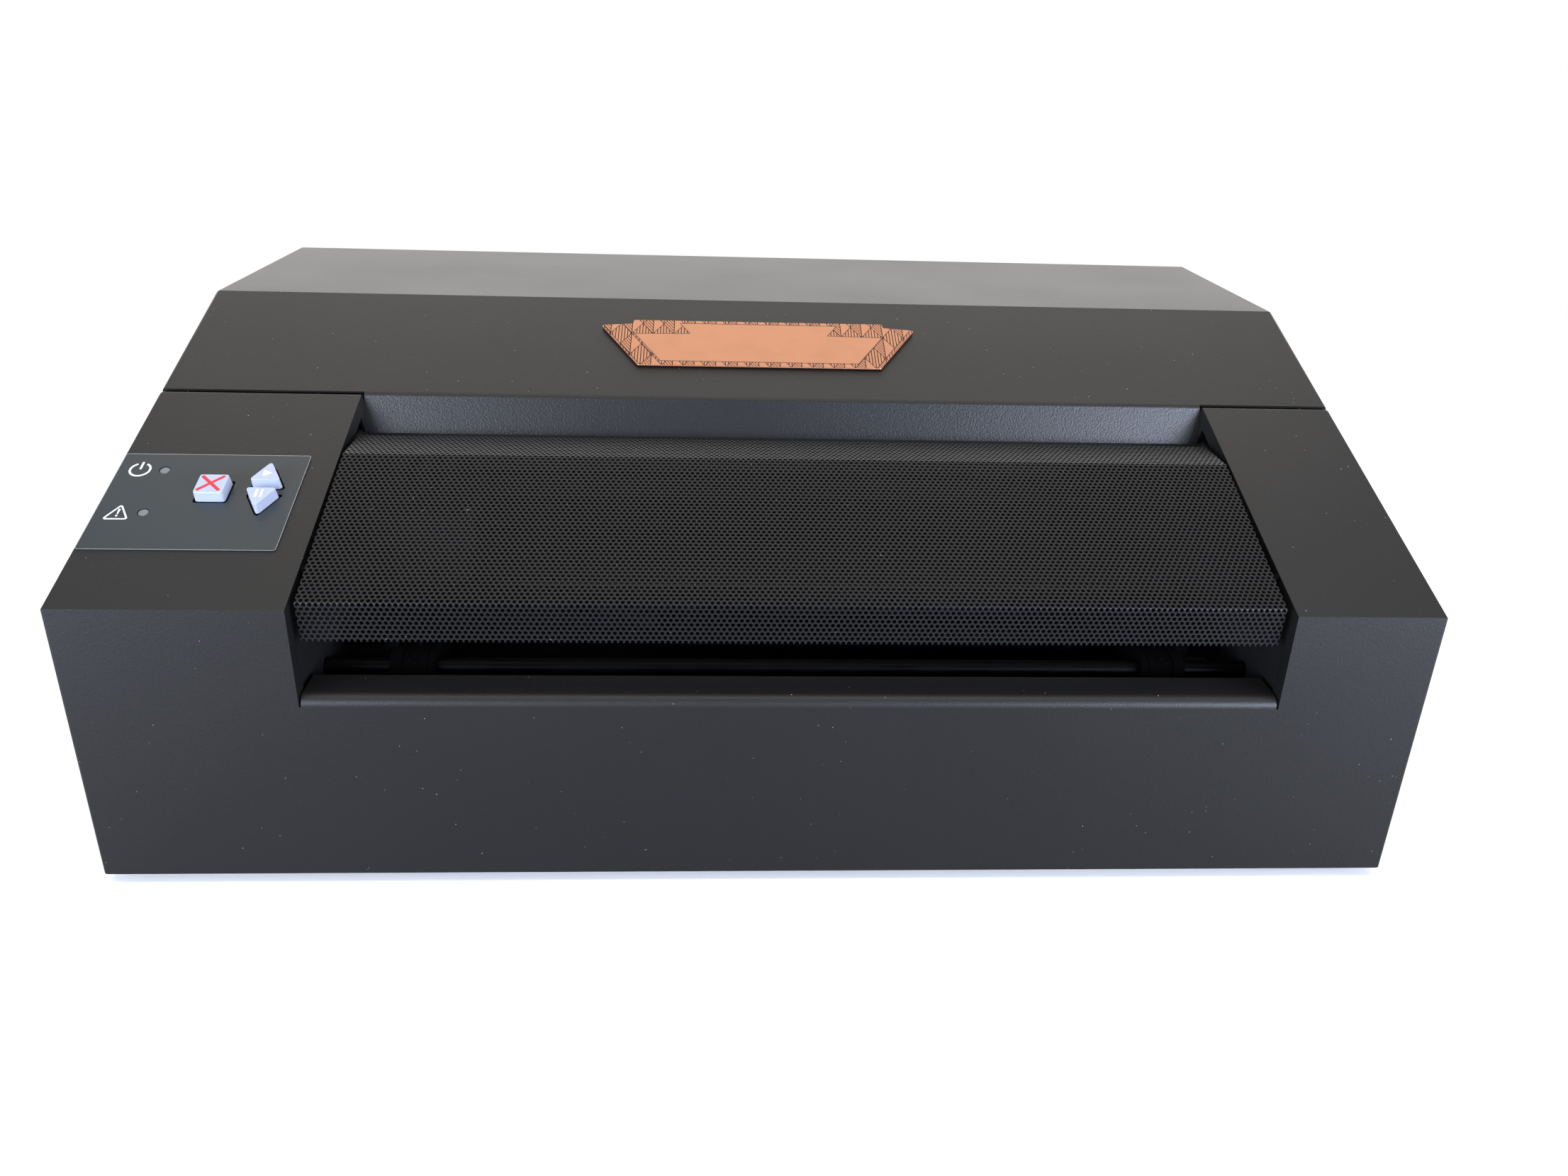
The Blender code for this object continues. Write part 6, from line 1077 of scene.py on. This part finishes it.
# Pan-head screws in zinc-plated steel, with a pressed cross, hold the rear panel, the fan,
# the hinges, the motors, the carriage, the boards and the side plates.
HEAD_RADIUS = 0.0027
HEAD_HEIGHT = 0.0015
HEAD_SINK = 0.0002
HEAD_CURVE = ((1.0, 0.4), (0.86, 0.82), (0.55, 1.0), (0.0, 1.0))
HEAD_SIDES = 14
CROSS_ARM = 0.0016
CROSS_WIDTH = 0.0006
CROSS_DEPTH = 0.0008


def turned_shape(profile, sides):
    """A shape turned round Z from its profile, given from the axis out, up and back to it."""
    shape = bmesh.new()
    verts = [shape.verts.new((radius, 0.0, height)) for radius, height in profile]
    edges = [shape.edges.new(pair) for pair in zip(verts, verts[1:])]
    bmesh.ops.spin(shape, geom=verts + edges, axis=(0.0, 0.0, 1.0), cent=(0.0, 0.0, 0.0), angle=2 * math.pi,
                   steps=sides)
    bmesh.ops.remove_doubles(shape, verts=shape.verts, dist=DOUBLES)
    bmesh.ops.recalc_face_normals(shape, faces=shape.faces)
    return shape


def pan_head(scale):
    """A pan head with its pressed cross, a little sunk in its seat."""
    radius, height, depth = HEAD_RADIUS * scale, HEAD_HEIGHT * scale, CROSS_DEPTH * scale
    profile = [(0.0, -HEAD_SINK), (radius, -HEAD_SINK)] + [(radius * r, height * h) for r, h in HEAD_CURVE]
    head = new_piece("pan_head", turned_shape(profile, HEAD_SIDES), zinc)
    used = [head]
    for wide, deep in ((2 * CROSS_ARM, CROSS_WIDTH), (CROSS_WIDTH, 2 * CROSS_ARM)):
        arm = small_box(wide * scale, deep * scale, 2 * depth, seat=(0.0, 0.0, height - depth))
        used.append(new_piece("cross_arm", arm, zinc))
        head.modifiers.new("pressed_cross", "BOOLEAN").object = used[-1]
    shape = bmesh.new()
    shape.from_mesh(settled(head))
    for piece in used:
        bpy.data.objects.remove(piece)
    return shape


def corners_of(centre, half):
    """The four places of a square pattern."""
    return [(centre[0] + i * half, centre[1] + j * half) for i in (-1, 1) for j in (-1, 1)]


REAR_OUTSIDE = 0.2197
FAN_MIDDLE = (0.312, 0.070)
FAN_SCREWS = 0.030
PAN_ROW = 0.0165
EDGE_COLUMN = 0.3435
HINGE_OUTSIDE = 0.2212
HINGE_ROW = 0.2310
MOTOR_MIDDLE = (-0.292, 0.164)
MOTOR_SCREWS = 0.0155
BRACKET_FRONT = -0.0320
FEED_MIDDLE = (-0.136, 0.070)
FEED_SCREWS = 0.0130
RIGHT_OUTSIDE = 0.2783
CARRIAGE_TOP = 0.1750
FOOT_TOP = 0.0095
SUPPLY_TOP = 0.0495
REARWARDS = (0.0, 1.0, 0.0)

rear_places = [(x, REAR_OUTSIDE, z) for x, z in corners_of(FAN_MIDDLE, FAN_SCREWS)]
rear_places += [(x, REAR_OUTSIDE, PAN_ROW) for x in (-0.30, -0.10, 0.10, 0.25)]
rear_places += [(x, REAR_OUTSIDE, z) for x in (-EDGE_COLUMN, EDGE_COLUMN) for z in (0.135, 0.215)]
hinge_places = [(way * x, HINGE_OUTSIDE, HINGE_ROW) for way in (-1, 1) for x in (0.228, 0.272)]
motor_places = [(x, BRACKET_FRONT, z) for x, z in corners_of(MOTOR_MIDDLE, MOTOR_SCREWS)]
feed_places = [(RIGHT_OUTSIDE, y, z) for y, z in corners_of(FEED_MIDDLE, FEED_SCREWS)]
carriage_places = [(x, y, CARRIAGE_TOP) for x in (-0.2235, -0.1685) for y in (-0.1125, -0.0590)]
board_places = [(x, y, BOARD_FACE) for x in (-0.0555, 0.1655) for y in (0.0785, 0.1935)]
foot_places = [(x, y, FOOT_TOP) for x in (-0.2475, 0.2845) for y in (-0.180, -0.080, 0.005)]
supply_places = [(x, y, SUPPLY_TOP) for x in (-0.2265, -0.0925) for y in (0.0795, 0.1685)]
for name, places, facing, body, node, scale in (
        ("rear_panel_screws", rear_places, REARWARDS, "case", "lid_hinge_base_left", 1.0),
        ("hinge_screws", hinge_places, REARWARDS, "case", "lid_hinge_base_left", 0.7),
        ("carriage_motor_screws", motor_places, (0.0, -1.0, 0.0), "case", "carriage_motor_bracket", 0.9),
        ("feed_motor_screws", feed_places, (1.0, 0.0, 0.0), "case", "carriage_motor_bracket", 0.8),
        ("carriage_screws", carriage_places, UP, "carriage_group", "embossing_pins", 0.9),
        ("board_screws", board_places, UP, "case", "carriage_motor_bracket", 0.9),
        ("side_plate_screws", foot_places, UP, "case", "carriage_motor_bracket", 1.0),
        ("supply_screws", supply_places, UP, "case", "power_supply", 0.8)):
    set_out(name, pan_head(scale), places, facing, zinc, body, turn=2 * math.pi, seed=3)

# The inlet's three pins are turned from brass and nickel plated, a warm dull silver, and
# stand on the bottom of its socket.
PIN_BRASS = "c9bd95"
PIN_SIZE = (0.0020, 0.0040, 0.0140)
INLET_BOTTOM = 0.2046
INLET_MIDDLE = (-0.316, 0.063)
PIN_SPREAD = 0.0065
PIN_LIFT = 0.0022

brass = plated_steel("nickel_plated_brass", PIN_BRASS, roughness=0.25, blotch=0.004)
inlet_pins = [(INLET_MIDDLE[0] + PIN_SPREAD * x, INLET_BOTTOM, INLET_MIDDLE[1] + PIN_LIFT * z)
              for x, z in ((0, 1), (-1, -1), (1, -1))]
set_out("inlet_pins", small_box(*PIN_SIZE, SOFT_EDGE), inlet_pins, REARWARDS, brass, "case")

# The carriage belt's teeth stand 2 mm apart on its inner side.  They are moulded with the
# belt, in its own rubber.
TOOTH_PITCH = 0.0020
TOOTH_SIZE = (0.0010, 0.0056, 0.0005)
TOOTH_EDGE = 0.0002
BELT_ENDS = (-0.290, 0.316)
BELT_MIDDLE = -0.0410
BELT_RUNS = (("belt_teeth_upper", 0.1720, (0.0, 0.0, -1.0)), ("belt_teeth_lower", 0.1560, UP))

tooth_count = int((BELT_ENDS[1] - BELT_ENDS[0]) / TOOTH_PITCH)
for name, level, facing in BELT_RUNS:
    row = [(BELT_ENDS[0] + i * TOOTH_PITCH, BELT_MIDDLE, level) for i in range(tooth_count)]
    set_out(name, small_box(*TOOTH_SIZE, TOOTH_EDGE), row, facing, rubber, "case")

# Wires in coloured PVC run along the pan from the board's headers to the motors, the fan
# and the supply, and from the inlet to the supply, laid side by side.
WIRE_RADIUS = 0.00065
WIRE_STEP = 0.0015
WIRE_BEND_STEPS = 6
WIRE_COLOURS = {"black": "151515", "red": "a8231f", "blue": "23509c", "yellow": "c8a427", "green": "2f7a3c",
                "brown": "5a3520"}
LOOMS = {
    "carriage_motor_wires": (((-0.040, 0.0765, 0.0350), (-0.044, 0.0690, 0.0300), (-0.060, 0.0640, 0.0110),
                              (-0.150, 0.0600, 0.0100), (-0.245, 0.0560, 0.0120), (-0.262, 0.0440, 0.0500),
                              (-0.265, 0.0330, 0.1100), (-0.275, 0.0300, 0.1560), (-0.290, 0.0090, 0.1640)),
                             ("black", "red", "yellow", "blue")),
    "feed_motor_wires": (((0.080, 0.0765, 0.0350), (0.084, 0.0690, 0.0300), (0.100, 0.0640, 0.0110),
                          (0.200, 0.0560, 0.0100), (0.248, 0.0200, 0.0100), (0.252, -0.0600, 0.0110),
                          (0.254, -0.1050, 0.0250), (0.256, -0.1080, 0.0500), (0.256, -0.1195, 0.0640)),
                         ("black", "black", "black", "black")),
    "fan_wires": (((0.1150, 0.0765, 0.0350), (0.1250, 0.0700, 0.0300), (0.1750, 0.0700, 0.0120),
                   (0.2300, 0.1100, 0.0100), (0.2620, 0.1650, 0.0140), (0.2740, 0.1850, 0.0350),
                   (0.2800, 0.1940, 0.0450)), ("black", "red")),
    "supply_wires": (((-0.0730, 0.1100, 0.0330), (-0.0680, 0.1050, 0.0330), (-0.0620, 0.0900, 0.0360),
                      (-0.0500, 0.0770, 0.0370), (-0.0420, 0.0765, 0.0350)), ("black", "red", "yellow")),
    "inlet_wires": (((-0.3160, 0.1900, 0.0620), (-0.3140, 0.1750, 0.0550), (-0.2950, 0.1500, 0.0200),
                     (-0.2600, 0.1350, 0.0160), (-0.2400, 0.1300, 0.0250), (-0.2310, 0.1300, 0.0300)),
                    ("brown", "blue", "green"))}

pvc = {name: moulded_plastic(name + "_pvc", colour, 0.4, 0.0009) for name, colour in WIRE_COLOURS.items()}
for name, (path, colours) in LOOMS.items():
    run = bpy.data.curves.new(name, "CURVE")
    run.dimensions = "3D"
    run.bevel_depth = WIRE_RADIUS
    run.bevel_resolution = 1
    run.resolution_u = WIRE_BEND_STEPS
    run.use_fill_caps = True
    for i, colour in enumerate(colours):
        run.materials.append(pvc[colour])
        wire = run.splines.new("BEZIER")
        wire.bezier_points.add(len(path) - 1)
        wire.material_index = i
        for knot, place in zip(wire.bezier_points, path):
            knot.co = Vector(place) + Vector((WIRE_STEP * i, WIRE_STEP * i, 0.0))
            knot.handle_left_type = knot.handle_right_type = "AUTO"
    laid = put(name + "_laid", run)
    mesh = settled(laid)
    bpy.data.objects.remove(laid)
    mesh.shade_smooth()
    place_piece(put(name, mesh), "case")
